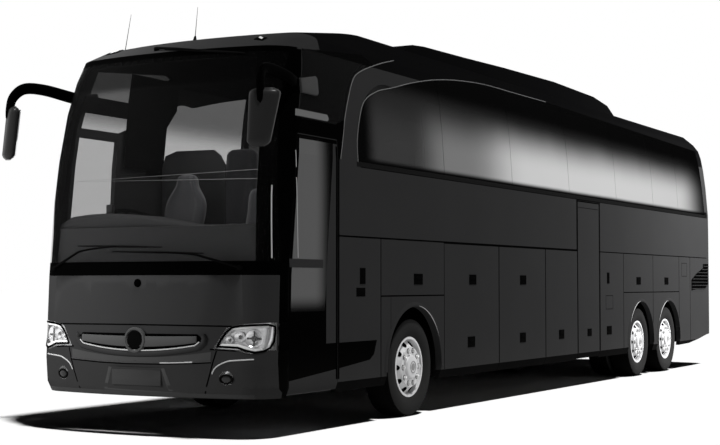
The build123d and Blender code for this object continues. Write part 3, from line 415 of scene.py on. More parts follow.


# painted shade for the dark edges and tops of the glass
painted_edge_shade = grey(0.002)
# painted reflection: light glass darkening towards the front and the top, with painted shade at every edge
window_glass = glass_finish(
    "faded_window_glass", grey(0.50), 0.12, 0.93,
    [("X", 1.0, 3.0, grey(0.17), 0.90), ("X", 3.2, 4.2, grey(0.040), 0.80),
     ("Z", 2.68, 3.30, grey(0.016), 0.95), ("Z", 3.12, 3.38, painted_edge_shade, 0.98),
     ("Z", 2.53, 2.46, painted_edge_shade, 0.98), ("X", -4.9, -6.75, painted_edge_shade, 0.98),
     ("X", 4.75, 5.12, painted_edge_shade, 0.98)],
    specular=0.0)
# painted shade towards the top of the clear cab glass
cab_glass = glass_finish("clear_cab_glass", grey(0.02), 0.04, 0.25,
                         [("Z", 2.75, 3.1, painted_edge_shade, 0.62)], specular=0.002)
# painted shade: the crown glass dark all over
crown_glass = glass_finish("dark_crown_glass", painted_edge_shade, 0.04, 0.86, specular=0.004)
# painted shade in a band near the windscreen's top
screen_glass = glass_finish("windscreen_glass", grey(0.006), 0.03, 0.20,
                            [("Z", 3.02, 3.12, painted_edge_shade, 0.60)], specular=0.003)
# painted reflection: light grey door glass, with painted shade towards its rear and its foot
door_glass = glass_finish("door_glass", grey(0.085), 0.06, 0.90,
                          [("X", 6.06, 5.72, painted_edge_shade, 0.97), ("Z", 1.26, 1.06, painted_edge_shade, 0.97)],
                          specular=0.0)
lamp_glass = glass_finish("clear_lamp_cover", grey(0.9), 0.02, 0.06, specular=0.1)

# ---------------------------------------------------------------- mesh helpers


def add_piece(name, mesh, body, materials, slot=None):
    """Links a mesh as a piece that rides on a body."""
    piece = bpy.data.objects.new(name, mesh)
    bpy.context.collection.objects.link(piece)
    if len(mesh.materials):
        mesh.materials.clear()
    materials = materials if isinstance(materials, (list, tuple)) else [materials]
    for material in materials:
        mesh.materials.append(material)
    if len(materials) == 1:
        mesh.polygons.foreach_set("material_index", [0] * len(mesh.polygons))
    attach(piece, body)
    return piece


def soften(mesh, angle=32.0):
    """Smooth shading with crisp edges above an angle."""
    mesh.shade_smooth()
    mesh.set_sharp_from_angle(angle=radians(angle))


def node_shape(*names):
    """The merged mesh of CAD nodes, as a bmesh."""
    shape = bmesh.new()
    for name in names:
        shape.from_mesh(frame["nodes"][name].data)
    bmesh.ops.remove_doubles(shape, verts=shape.verts, dist=2e-5)
    return shape


def body_of_node(name):
    """The body that a CAD node rides on."""
    return frame["nodes"][name].parent.name.split(":", 1)[1]


def dress(node, materials, slot, angle=32.0, paint=None, name=None, weighted=True):
    """A smoothly shaded copy that stands for a CAD node; paint(bmesh) may give faces other materials."""
    shape = node_shape(node)
    bmesh.ops.dissolve_limit(shape, angle_limit=radians(0.05), verts=shape.verts, edges=shape.edges)
    if paint:
        paint(shape)
    mesh = bpy.data.meshes.new(name or f"{node}_skin")
    shape.to_mesh(mesh)
    shape.free()
    soften(mesh, angle)
    piece = add_piece(name or f"{node}_skin", mesh, body_of_node(node), materials, slot)
    if weighted:
        even = piece.modifiers.new("even_normals", "WEIGHTED_NORMAL")
        even.keep_sharp = True
    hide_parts(node)
    return piece


def cut_by(shape, *planes):
    """Splits the faces of a shape along planes, each (point, direction)."""
    for point, direction in planes:
        geometry = shape.verts[:] + shape.edges[:] + shape.faces[:]
        bmesh.ops.bisect_plane(shape, geom=geometry, dist=1e-5, plane_co=point, plane_no=direction)


outside_nodes = ["front_mask", "windscreen", "front_bumper", "front_lamps", "grille", "side_left",
                 "side_right",
                 "side_glazing", "front_door", "front_door_glass", "middle_door", "roof", "rear_wall",
                 "rear_glass",
                 "rear_bumper", "engine_lid", "tail_lamps"] + \
                [f"flap_{side}_{number}" for side in sides for number in (1, 2, 3)]
outside_shape = node_shape(*outside_nodes)
outside = BVHTree.FromBMesh(outside_shape)
outside_shape.free()

# where a view from outside looks: origin of across, up and inward directions
faces_of_coach = {
    "front": (Vector((9, 0, 0)), Vector((0, 1, 0)), Vector((-1, 0, 0))),
    "rear": (Vector((-9, 0, 0)), Vector((0, -1, 0)), Vector((1, 0, 0))),
    "left": (Vector((0, 3, 0)), Vector((-1, 0, 0)), Vector((0, -1, 0))),
    "right": (Vector((0, -3, 0)), Vector((1, 0, 0)), Vector((0, 1, 0))),
}


def on_skin(facing, across, height, proud=0.0):
    """The point of the coach's outer skin behind (across, height) of one face, moved out by proud."""
    origin, along, inward = faces_of_coach[facing]
    start = origin + along * across + Vector((0, 0, height))
    hit, normal, _, _ = outside.ray_cast(start, inward)
    if hit is None:
        return None
    if normal.dot(inward) > 0:
        normal = -normal
    return hit + normal * proud


def side_across(facing, station):
    """The across value of a station on a side."""
    return -at(station) if facing == "left" else at(station)


def along_side(facing, points):
    """Points (station, height) of a side as (across, height)."""
    return [(side_across(facing, station), height) for station, height in points]


def flat_cells(outline, step):
    """A polygon in (across, height), cut into cells of about one step."""
    shape = bmesh.new()
    shape.faces.new([shape.verts.new((x, z, 0)) for x, z in outline])
    for axis, direction in ((0, Vector((1, 0, 0))), (1, Vector((0, 1, 0)))):
        values = [point[axis] for point in outline]
        low, high = min(values), max(values)
        count = max(1, round((high - low) / step))
        for number in range(1, count):
            cut_by(shape, (direction * (low + (high - low) * number / count), direction))
    return shape


def baked(piece):
    """The evaluated mesh of an object, which is then removed."""
    bpy.context.view_layer.update()
    mesh = bpy.data.meshes.new_from_object(piece.evaluated_get(bpy.context.evaluated_depsgraph_get()))
    mesh.name = piece.name
    bpy.data.objects.remove(piece)
    return mesh


def carrier(name, data):
    """A helper object for modifiers."""
    piece = bpy.data.objects.new(name, data)
    bpy.context.collection.objects.link(piece)
    return piece


def drape(name, facing, outline, body, material, slot, proud=0.002, depth=0.003, step=0.06, bevel=0.0):
    """A plate that follows the coach's skin under an outline, proud of it and depth thick."""
    shape = flat_cells(outline, step)
    for vert in shape.verts:
        point = on_skin(facing, vert.co.x, vert.co.y, proud)
        if point is None:
            raise ValueError(f"{name}: no skin behind {tuple(vert.co)}")
        vert.co = point
    bmesh.ops.recalc_face_normals(shape, faces=shape.faces)
    outward = -faces_of_coach[facing][2]
    if sum((face.normal.dot(outward) * face.calc_area() for face in shape.faces)) < 0:
        bmesh.ops.reverse_faces(shape, faces=shape.faces)
    mesh = bpy.data.meshes.new(name)
    shape.to_mesh(mesh)
    shape.free()
    plate = carrier(f"{name}_flat", mesh)
    wall = plate.modifiers.new("wall", "SOLIDIFY")
    wall.thickness, wall.offset = depth, -1
    if bevel:
        edge = plate.modifiers.new("edge", "BEVEL")
        edge.width, edge.segments, edge.limit_method, edge.angle_limit = bevel, 2, "ANGLE", radians(50)
    mesh = baked(plate)
    mesh.name = name
    soften(mesh)
    return add_piece(name, mesh, body, material, slot)


def curved(points, steps=8, closed=False):
    """Points along a smooth curve through some points (Catmull-Rom)."""
    count = len(points)
    spans = range(count) if closed else range(count - 1)
    made = []
    for k in spans:
        p = [Vector(points[(k + j) % count] if closed else points[min(max(k + j, 0), count - 1)])
             for j in (-1, 0, 1, 2)]
        for step in range(steps):
            t = step / steps
            made.append(0.5 * (2 * p[1] + (p[2] - p[0]) * t + (2 * p[0] - 5 * p[1] + 4 * p[2] - p[3]) * t * t
                               + (3 * p[1] - p[0] - 3 * p[2] + p[3]) * t ** 3))
    if not closed:
        made.append(Vector(points[-1]))
    return made


def spaced(points, step, closed=False):
    """Points no further apart than one step along straight runs."""
    points = [Vector(p) for p in points]
    made = []
    ends = points[1:] + (points[:1] if closed else [])
    for start, end in zip(points, ends):
        count = max(1, int(np.ceil((end - start).length / step)))
        made += [start.lerp(end, k / count) for k in range(count)]
    return made if closed else made + [points[-1]]


def tube_mesh(name, points, radius, closed=False, radii=None, sides=3):
    """A tube along points; radii scale it from point to point."""
    curve = bpy.data.curves.new(name, "CURVE")
    curve.dimensions = "3D"
    curve.bevel_depth, curve.bevel_resolution, curve.use_fill_caps = radius, sides, True
    spline = curve.splines.new("POLY")
    spline.points.add(len(points) - 1)
    spline.use_cyclic_u = closed
    for k, point in enumerate(points):
        spline.points[k].co = (*point, 1)
        spline.points[k].radius = radii[k] if radii else 1
    mesh = baked(carrier(name, curve))
    soften(mesh, 40)
    return mesh


def bead(name, facing, points, radius, body, material, slot, proud=0.0, closed=False, step=0.05):
    """A round bead laid on the skin along points in (across, height)."""
    run = [on_skin(facing, p[0], p[1], proud) for p in spaced([(*q[:2], 0) for q in points], step, closed)]
    return add_piece(name, tube_mesh(name, run, radius, closed), body, material, slot)


def add_box(shape, low, high, bevel=0.0, segments=2, turn=None):
    """A box from its low to its high corner, with rounded edges; turn is a matrix about its middle."""
    low, high = Vector(low), Vector(high)
    middle, size = (low + high) / 2, high - low
    made = bmesh.ops.create_cube(shape, size=1)["verts"]
    bmesh.ops.scale(shape, vec=[abs(v) for v in size], verts=made)
    if bevel:
        edges = list({edge for vert in made for edge in vert.link_edges})
        result = bmesh.ops.bevel(shape, geom=made + edges, offset=bevel, segments=segments, profile=0.5,
                                 affect="EDGES")
        made = list({vert for face in result["faces"] for vert in face.verts} | {v for v in made if v.is_valid})
    if turn is not None:
        bmesh.ops.transform(shape, matrix=turn, verts=made)
    bmesh.ops.translate(shape, vec=middle, verts=made)
    return made


def add_turned(shape, profile, centre, axis, segments=48, start=0.0):
    """A turned form: profile is (distance along the axis, radius), closed where both ends are on the axis
    or the first point comes again at the end."""
    axis = Vector(axis).normalized()
    across = axis.orthogonal().normalized()
    other = axis.cross(across)
    rings = []
    for along, radius in profile:
        if radius < 1e-6:
            rings.append([shape.verts.new(Vector(centre) + axis * along)])
            continue
        rings.append([
            shape.verts.new(Vector(centre) + axis * along
                            + (across * cos(start + 2 * pi * k / segments)
                               + other * sin(start + 2 * pi * k / segments)) * radius)
            for k in range(segments)])
    for one, two in zip(rings, rings[1:]):
        for k in range(segments):
            following = (k + 1) % segments
            corners = [one[k % len(one)], one[following % len(one)], two[following % len(two)],
                       two[k % len(two)]]
            corners = list(dict.fromkeys(corners))
            if len(corners) > 2:
                shape.faces.new(corners)
    return [vert for ring in rings for vert in ring]


def add_loft(shape, rings):
    """Skins closed rings of equal counts, with both ends capped."""
    made = [[shape.verts.new(point) for point in ring] for ring in rings]
    for one, two in zip(made, made[1:]):
        for k in range(len(one)):
            following = (k + 1) % len(one)
            shape.faces.new((one[k], one[following], two[following], two[k]))
    shape.faces.new(made[0][::-1])
    shape.faces.new(made[-1])
    return [vert for ring in made for vert in ring]


def oval(centre, one, two, half_one, half_two, power=2.0, count=28):
    """A rounded ring about a centre; a higher power makes it squarer."""
    ring = []
    for k in range(count):
        turn = 2 * pi * k / count
        along, over = cos(turn), sin(turn)
        ring.append(Vector(centre) + one * (half_one * np.sign(along) * abs(along) ** (2 / power))
                    + two * (half_two * np.sign(over) * abs(over) ** (2 / power)))
    return ring


def close_shape(name, shape, body, material, slot=None, angle=32.0):
    """Makes a piece of a finished bmesh, with its faces pointing outwards."""
    bmesh.ops.remove_doubles(shape, verts=shape.verts, dist=1e-6)
    bmesh.ops.recalc_face_normals(shape, faces=shape.faces)
    mesh = bpy.data.meshes.new(name)
    shape.to_mesh(mesh)
    shape.free()
    soften(mesh, angle)
    return add_piece(name, mesh, body, material, slot)


# ---------------------------------------------------------------- repeats by Geometry Nodes


def repeat_tree(name, turning):
    """Copies of a shape, in a row by a step or, if turning, in a ring about the Y axis through the centre."""
    tree = bpy.data.node_groups.new(name, "GeometryNodeTree")
    for label, kind in (("Shape", "Object"), ("Count", "Int"), ("Place", "Vector"), ("Step", "Vector"),
                        ("Finish", "Material")):
        tree.interface.new_socket(label, in_out="INPUT", socket_type=f"NodeSocket{kind}")
    tree.interface.new_socket("Geometry", in_out="OUTPUT", socket_type="NodeSocketGeometry")
    nodes, links = tree.nodes, tree.links
    start, end = nodes.new("NodeGroupInput"), nodes.new("NodeGroupOutput")
    line = nodes.new("GeometryNodeMeshLine")
    info = nodes.new("GeometryNodeObjectInfo")
    copies = nodes.new("GeometryNodeInstanceOnPoints")
    real = nodes.new("GeometryNodeRealizeInstances")
    paint = nodes.new("GeometryNodeSetMaterial")
    links.new(start.outputs["Count"], line.inputs["Count"])
    links.new(start.outputs["Place"], line.inputs["Start Location"])
    if turning:
        line.inputs["Offset"].default_value = (0, 0, 0)
        index = nodes.new("GeometryNodeInputIndex")
        share = add_math(tree, "DIVIDE", index.outputs[0], start.outputs["Count"])
        angle = nodes.new("ShaderNodeCombineXYZ")
        links.new(add_math(tree, "MULTIPLY", share, 2 * pi), angle.inputs["Y"])
        links.new(angle.outputs[0], copies.inputs["Rotation"])
    else:
        links.new(start.outputs["Step"], line.inputs["Offset"])
    links.new(line.outputs["Mesh"], copies.inputs["Points"])
    links.new(start.outputs["Shape"], info.inputs["Object"])
    links.new(info.outputs["Geometry"], copies.inputs["Instance"])
    links.new(copies.outputs["Instances"], real.inputs["Geometry"])
    links.new(real.outputs["Geometry"], paint.inputs["Geometry"])
    links.new(start.outputs["Finish"], paint.inputs["Material"])
    links.new(paint.outputs["Geometry"], end.inputs["Geometry"])
    return tree


row_tree = repeat_tree("row_of_copies", False)
ring_tree = repeat_tree("ring_of_copies", True)


def repeated(name, tree, shape, material, runs, angle=32.0):
    """The mesh of a bmesh shape repeated by a tree; runs is a list of (count, place, step)."""
    bmesh.ops.recalc_face_normals(shape, faces=shape.faces)
    seed_mesh = bpy.data.meshes.new(f"{name}_seed")
    shape.to_mesh(seed_mesh)
    shape.free()
    seed = carrier(f"{name}_seed", seed_mesh)
    sockets = {item.name: item.identifier for item in tree.interface.items_tree if item.in_out == "INPUT"}
    whole = bmesh.new()
    for count, place, step in runs:
        holder = carrier(f"{name}_run", bpy.data.meshes.new(name))
        made = holder.modifiers.new("copies", "NODES")
        made.node_group = tree
        for label, value in (("Shape", seed), ("Count", count), ("Place", place), ("Step", step),
                             ("Finish", material)):
            made[sockets[label]] = value
        run = baked(holder)
        whole.from_mesh(run)
        bpy.data.meshes.remove(run)
    bpy.data.objects.remove(seed)
    mesh = bpy.data.meshes.new(name)
    whole.to_mesh(mesh)
    whole.free()
    soften(mesh, angle)
    return mesh


# ---------------------------------------------------------------- dressed nodes
# nodes of one finish: (material, slot)
plain_finishes = {
    "air_springs": (bellows_rubber, "rubber"), "dashboard": (dash_plastic, "dash"),
    "deck": (floor_cover, "floor"), "drive_axle": (axle_iron, "axle_iron"), "engine": (engine_iron, "engine"),
    "engine_lid": (body_paint, "body_paint"), "front_axle": (axle_iron, "axle_iron"),
    "front_door_arm": (steel, "chassis"), "grille": (body_paint, "grille"),
    "knuckle_left": (axle_iron, "axle_iron"), "knuckle_right": (axle_iron, "axle_iron"),
    "middle_door_arm": (steel, "chassis"), "rear_bumper": (body_paint, "body_paint"),
    # the roof pod takes painted shade
    "rear_wall": (body_paint, "body_paint"), "roof_pod": (shade_paint, "body_paint"),
    "steering_wheel": (black_plastic, "dark_trim"), "tag_axle": (axle_iron, "axle_iron"),
    "tail_lamps": (tail_red, "tail_lamp"), "underframe": (chassis_paint, "chassis"),
    "wheel_housings": (black_plastic, "dark_trim"),
}


def painted(rule, *planes):
    """A paint step for dress: cut along planes, then rule(middle of a face, normal) gives its material number."""
    def paint(shape):
        cut_by(shape, *planes)
        for face in shape.faces:
            face.material_index = int(rule(face.calc_center_median(), face.normal))
    return paint


up = Vector((0, 0, 1))
skirt_top = 0.432
# painted shade on the slanted skirt of the flaps, the middle door and the sides, below skirt_top
skirt_shade = painted(lambda p, n: int(p.z < skirt_top), ((0, 0, skirt_top), up))
for side in sides:
    for number in (1, 2, 3):
        dress(f"flap_{side}_{number}", [body_paint, shade_paint], "body_paint", paint=skirt_shade)
    for axle in axle_stations:
        # the treads in painted shade, darker than the sidewalls
        dress(f"tyre_{axle}_{side}", [tyre_rubber, tread_shade_rubber], "tyre",
              paint=lambda shape: [setattr(face, "material_index", int(abs(face.normal.y) < 0.55))
                                   for face in shape.faces])
        plain_finishes[f"wheel_{axle}_{side}"] = (wheel_silver, "wheel_silver")

mask_top, pillar_top = 1.390, 3.385
corner_from = 1.250              # the front's outer ends are black from here on
corner_cuts = [((0, way * corner_from, 0), Vector((0, 1, 0))) for way in (1, -1)]


def front_corners_and_opening_shade(point, normal):
    """The black outer ends of the front, and painted shade on the narrow walls round its openings."""
    return point.x > 6.3 and (abs(point.y) > corner_from or normal.x < 0.22)


dress("front_mask", [body_paint, gloss_black], "body_paint",
      paint=painted(lambda p, n: int(mask_top < p.z < pillar_top or (p.z < mask_top and front_corners_and_opening_shade(p, n))),
                    ((0, 0, mask_top), up), ((0, 0, pillar_top), up), *corner_cuts))
dress("front_bumper", [body_paint, gloss_black], "body_paint", paint=painted(front_corners_and_opening_shade, *corner_cuts))
frit_low, frit_high = 1.510, 3.345
frit_half, frit_half_at, frit_lean = 1.19, 2.6, 0.06     # clear half width at a height, less per metre above
frit_sides = [((0, way * frit_half, frit_half_at), Vector((0, 1, way * frit_lean))) for way in (1, -1)]
dress("windscreen", [screen_glass, gloss_black], "screen_glass",
      paint=painted(lambda p, n: int(p.z < frit_low or p.z > frit_high
                                     or abs(p.y) > frit_half - frit_lean * (p.z - frit_half_at)),
                    ((0, 0, frit_low), up), ((0, 0, frit_high), up), *frit_sides))
skirt_line = (Vector((at(0.429), 0, 0.484)), Vector((at(1.342), 0, 0.556)))
skirt_normal = (skirt_line[1] - skirt_line[0]).cross(Vector((0, 1, 0)))
if skirt_normal.z < 0:
    skirt_normal.negate()
strip_from, strip_low, strip_high = at(1.095), 0.786, 2.58
dress("front_door", [gloss_black, body_paint], "body_paint",
      paint=painted(lambda p, n: int((p - skirt_line[0]).dot(skirt_normal) < 0
                                     or (p.x < strip_from and strip_low < p.z < strip_high)),
                    (skirt_line[0], skirt_normal), ((strip_from, 0, 0), Vector((1, 0, 0))),
                    ((0, 0, strip_low), up), ((0, 0, strip_high), up)))
dress("front_door_glass", door_glass, "tinted_glass")
dress("middle_door", [body_paint, shade_paint], "body_paint", paint=skirt_shade)
# the roof in painted shade, its front in the plain body paint
roof_front = at(1.15)
dress("roof", [shade_paint, body_paint], "body_paint",
      paint=painted(lambda p, n: int(p.x > roof_front), ((roof_front, 0, 0), Vector((1, 0, 0)))))
# the sides take painted shade above this height and below the skirt top
dark_above = 3.42
crown_from, crown_low = at(2.6), 3.25                    # painted shade on the crown behind the front arch
sill_from, sill_low, sill_high = at(1.74), 2.400, 2.50   # painted shade in a line under the side glass
for side in sides:
    dress(f"side_{side}", [body_paint, shade_paint], "body_paint",
          paint=painted(lambda p, n: int(p.z > dark_above or p.z < skirt_top
                                         or (p.x < crown_from and p.z > crown_low)
                                         or (p.x < sill_from and sill_low < p.z < sill_high)),
                        *[((0, 0, z), up) for z in (dark_above, skirt_top, crown_low, sill_low, sill_high)],
                        ((sill_from, 0, 0), Vector((1, 0, 0)))))


saloon_from, cab_window_end = at(1.62), at(3.56)


def glazing_rule(point, normal):
    """The saloon's faded glass, the clear cab glass on the driver's side and the dark crown glass."""
    if point.x < saloon_from:
        return int(point.y < 0 and point.x > cab_window_end)
    return 1 if point.y < 0 else 2


glazing = dress("side_glazing", [window_glass, cab_glass, crown_glass], "tinted_glass",
                paint=painted(glazing_rule))
dress("rear_glass", window_glass, "tinted_glass")
spare_floor(add_lamp("rear_panel", "AREA", (-7.0, 6.0, 3.8), (-5.6, 1.27, 1.7), 1350, 4, 1.6), glazing)
aim_light(add_lamp("glass_panel", "AREA", (-3.0, 8.0, 4.5), (-2.2, 1.27, 2.6), 215, 7, 2.0), [glazing],
          "INCLUDE")
lamp_end = 1.243                 # outer end of the headlamps, from the middle


def lamp_rule(point, normal):
    """Cover glass outside, bright walls inside, body paint past the outer end and dark edges all round."""
    if abs(point.y) > lamp_end:
        return 2 if abs(point.y) < corner_from else 3
    if normal.x > 0.25:
        return 0
    return 1 if normal.x < -0.25 or (0.79 < point.z < 0.94 and 0.86 < abs(point.y) < 1.2) else 3


dress("front_lamps", [lamp_glass, lamp_silver, body_paint, joint_and_shade_black], "lamp",
      paint=painted(lamp_rule, ((0, lamp_end, 0), Vector((0, 1, 0))), ((0, -lamp_end, 0), Vector((0, 1, 0)))))
for node, (material, slot) in plain_finishes.items():
    dress(node, material, slot)

# ---------------------------------------------------------------- seats
saloon_floor, cab_floor = 1.500, 1.050
row_pitch, first_row, bench_middle, seat_half = 0.790, 2.550, 0.720, 0.232


def pad_rings(stations, ring_at, rounding=0.10):
    """Rings of a pad along its length, drawn in towards both ends as stuffing does."""
    rings = []
    for share in stations:
        end = max(0.0, (abs(2 * share - 1) - (1 - 2 * rounding)) / (2 * rounding))
        rings.append(ring_at(share, sqrt(max(0.0, 1 - min(1.0, end) ** 2)) * 0.72 + 0.28))
    return rings


pad_shares = [0, 0.006, 0.02, 0.045, 0.08, 0.13, 0.2, 0.28, 0.36, 0.45, 0.55, 0.64, 0.72, 0.8, 0.87, 0.92,
              0.955, 0.98,
              0.994, 1]


def seat_cushion(shape, across, half, front, back, low, high):
    """A crowned cushion with side rolls and a rolled front edge; front and back are x values."""
    def ring_at(share, full):
        x = back + (front - back) * share
        middle = Vector((x, across, (low + high) / 2 - 0.012 * share ** 6))
        ring = oval(middle, Vector((0, 1, 0)), up, half * full, (high - low) / 2 * full, 3.4, 32)
        for point in ring:
            inner = abs(point.y - across) / half
            if point.z > middle.z:
                point.z += 0.010 * (inner > 0.55) - 0.012 * (inner < 0.62) + 0.008 * sin(pi * share)
        return ring
    add_loft(shape, pad_rings(pad_shares, ring_at, 0.08))


def seat_back(shape, across, foot, top, widths, thick):
    """A back with bolsters and headrest; foot and top are (x, z), widths are (share of height, half width)."""
    lean = Vector((top[0], 0, top[1])) - Vector((foot[0], 0, foot[1]))
    normal = Vector((lean.z, 0, -lean.x)).normalized()

    def ring_at(share, full):
        half = float(np.interp(share, [w[0] for w in widths], [w[1] for w in widths]))
        depth = thick * (1.0 + 0.16 * sin(pi * min(1.0, share / 0.5)) - 0.12 * (0.70 < share < 0.78))
        middle = Vector((foot[0], across, foot[1])) + lean * share + normal * 0.012 * sin(2 * pi * share)
        ring = oval(middle, Vector((0, 1, 0)), normal, half * full, depth / 2 * full, 3.0, 32)
        for point in ring:
            inner = abs(point.y - across) / max(half, 0.01)
            if (point - middle).dot(normal) > 0:
                point += normal * (0.010 * (inner > 0.6) - 0.010 * (inner < 0.6)) * min(1.0, share * 4)
        return ring
    add_loft(shape, pad_rings(pad_shares, ring_at, 0.06))


def rounded_pads(name, shape, body, runs=None, place=None):
    """Pads as one fabric object, in rows or, smoothed by subdivision, at one place."""
    if runs:
        mesh = repeated(name, row_tree, shape, seat_cloth, runs, 60)
    else:
        bmesh.ops.translate(shape, vec=place, verts=shape.verts)
        bmesh.ops.recalc_face_normals(shape, faces=shape.faces)
        mesh = bpy.data.meshes.new(name)
        shape.to_mesh(mesh)
        shape.free()
        mesh = subdivided(name, mesh)
        soften(mesh, 60)
    return add_piece(name, mesh, body, seat_cloth, "seat_fabric")


def subdivided(name, mesh):
    """A mesh after one level of subdivision."""
    holder = carrier(f"{name}_cage", mesh)
    finer = holder.modifiers.new("finer", "SUBSURF")
    finer.levels = finer.render_levels = 1
    made = baked(holder)
    made.name = name
    return made


bench_widths = [(0, 0.205), (0.2, 0.214), (0.5, 0.216), (0.66, 0.214), (0.74, 0.200), (0.80, 0.198),
                (0.92, 0.196),
                (1, 0.165)]
bench_runs = [(13, (at(first_row), -bench_middle, saloon_floor), (-row_pitch, 0, 0)),
              (6, (at(first_row), bench_middle, saloon_floor), (-row_pitch, 0, 0)),
              (5, (at(first_row + 8 * row_pitch), bench_middle, saloon_floor), (-row_pitch, 0, 0))]
bench_cushions, bench_backs, bench_frames = bmesh.new(), bmesh.new(), bmesh.new()
for way in (1, -1):
    seat_cushion(bench_cushions, way * seat_half, 0.216, -0.010, -0.415, 0.335, 0.445)
    seat_back(bench_backs, way * seat_half, (-0.415, 0.400), (-0.585, 1.290), bench_widths, 0.100)
    for share in (0.06, 0.36):
        add_box(bench_frames, (-share - 0.03, way * 0.09 - 0.02, 0.0), (-share, way * 0.09 + 0.02, 0.33),
                0.006, 1)
    add_box(bench_frames, (-0.44, way * 0.457 - 0.018, 0.55), (-0.10, way * 0.457 + 0.002, 0.60), 0.009, 2)
add_box(bench_frames, (-0.42, -0.44, 0.300), (-0.02, 0.44, 0.334), 0.008, 1)
rounded = rounded_pads("saloon_seat_backs", bench_backs, "coach", bench_runs)
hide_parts("passenger_seats")
rounded_pads("saloon_seat_cushions", bench_cushions, "coach", bench_runs)
add_piece("saloon_seat_frames", repeated("saloon_seat_frames", row_tree, bench_frames, dash_plastic,
                                         bench_runs),
          "coach", dash_plastic, "seat_fabric")
single_seats = {
    "driver": ((at(1.100), -0.620, cab_floor), 0.235, 1.350,
               [(0, 0.17), (0.25, 0.19), (0.55, 0.235), (0.70, 0.238), (0.78, 0.20), (0.84, 0.125),
                (0.90, 0.115),
                (1, 0.105)]),
    "crew": ((at(1.150), 0.280, cab_floor), 0.205, 1.195, [(0, 0.20), (0.5, 0.205), (0.9, 0.20), (1, 0.17)]),
}
for label, (place, half, top, widths) in single_seats.items():
    pads = bmesh.new()
    seat_cushion(pads, 0, half, 0.0, -0.42, 0.335, 0.445)
    piece = rounded_pads(f"{label}_seat_cushion", pads, "coach", place=place)
    pads = bmesh.new()
    seat_back(pads, 0, (-0.415, 0.400), (-0.545, top), widths, 0.110)
    back = rounded_pads(f"{label}_seat_back", pads, "coach", place=place)
    base = bmesh.new()
    add_box(base, (-0.33, -0.11, 0.0), (-0.06, 0.11, 0.30), 0.02, 2)
    add_box(base, (-0.42, -half, 0.290), (-0.02, half, 0.332), 0.01, 2)
    bmesh.ops.translate(base, vec=place, verts=base.verts)
    close_shape(f"{label}_seat_base", base, "coach", dash_plastic, "seat_fabric")
    if label == "driver":
        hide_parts("driver_seat")

# ---------------------------------------------------------------- cab trim
partition = bmesh.new()
wall_outline = [(-1.130, saloon_floor + 0.01), (-1.130, 2.50), (-1.09, 2.62), (-0.95, 2.665), (-0.50, 2.66),
                (-0.42, 2.60), (-0.36, 2.50), (-0.36, saloon_floor + 0.01)]
faces = [[partition.verts.new((at(s), y, z)) for y, z in wall_outline] for s in (1.900, 1.925)]
partition.faces.new(faces[0])
partition.faces.new(faces[1][::-1])
for k in range(len(wall_outline)):
    following = (k + 1) % len(wall_outline)
    partition.faces.new((faces[0][following], faces[0][k], faces[1][k], faces[1][following]))
close_shape("driver_partition", partition, "coach", dash_plastic, "dash")
for number, outline in enumerate([
        [(0.50, 2.955), (1.36, 2.955), (1.36, 3.115), (0.62, 3.115)],
                                  [(1.33, 2.47), (1.965, 2.47), (1.985, 2.93),
                                                                     (2.13, 3.12), (2.10, 3.42),
                                                                       (1.33, 3.42)]]):
    drape(f"cab_side_trim_{number + 1}", "right", along_side("right", outline), "coach",
          black_plastic, "dash", proud=-0.095, depth=0.012, step=0.3)
cowl = bmesh.new()
cowl_tops = [(-1.130, 1.850), (-1.10, 1.885), (-1.0, 1.940), (-0.85, 1.955), (-0.65, 1.962), (-0.40, 1.948),
             (-0.10, 1.922), (0.15, 1.880), (0.35, 1.845), (0.45, 1.830)]
add_loft(cowl, [oval((6.43, y, 1.78 + (top - 1.78) / 2), Vector((1, 0, 0)), up, 0.17, (top - 1.78) / 2, 3, 28)
                for y, top in cowl_tops])
add_box(cowl, (6.40, -0.70, 1.955), (6.44, -0.63, 2.045), 0.008, 2)
close_shape("dash_cowl", cowl, "coach", dash_plastic, "dash", 45)

# ---------------------------------------------------------------- front fittings
mouth_half, mouth_top = 0.650, 0.888


def arc_points(half, end_height, middle_height, count=16):
    """Points across the front on a shallow arc, lowest in the middle."""
    return [(half * t, middle_height + (end_height - middle_height) * t * t)
            for t in np.linspace(-1, 1, 2 * count + 1)]


def band(half, low_ends, low_middle, high_ends, high_middle):
    """The outline of a curved bar across the front."""
    return arc_points(half, low_ends, low_middle) + arc_points(half, high_ends, high_middle)[::-1]


lip_arc = [(-0.655, 0.862), (-0.640, 0.822)] + arc_points(0.600, 0.793, 0.742) + [(0.640, 0.822),
                                                                                  (0.655, 0.862)]
# painted shade: a black sheet in the grille's mouth, behind the bar
drape("grille_mouth", "front", lip_arc + [(mouth_half - 0.04, mouth_top), (-mouth_half + 0.04, mouth_top)],
      "coach",
      joint_and_shade_black, "dark_trim", proud=0.0015, depth=0.004)
drape("grille_bar", "front", band(0.615, 0.815, 0.772, 0.872, 0.864), "coach", bar_grey, "grille",
      proud=0.022, depth=0.021, bevel=0.009)
# the grille lip's trim, lightened into a painted highlight
bead("grille_lip", "front", lip_arc[1:-1], 0.0065, "coach", bright_lip_and_highlight, "grille", proud=0.010)
rim_arc = [(-0.668, 0.880), (-0.686, 0.850), (-0.672, 0.812)] + arc_points(0.622, 0.772, 0.712) + \
    [(0.672, 0.812), (0.686, 0.850), (0.668, 0.880)]
bead("grille_rim", "front", rim_arc, 0.027, "coach", body_paint, "body_paint", proud=-0.006, step=0.03)
bead("grille_slot", "front", [(-0.62, 0.880), (0.62, 0.880)], 0.006, "coach", joint_and_shade_black, "dark_trim",
     proud=0.004)

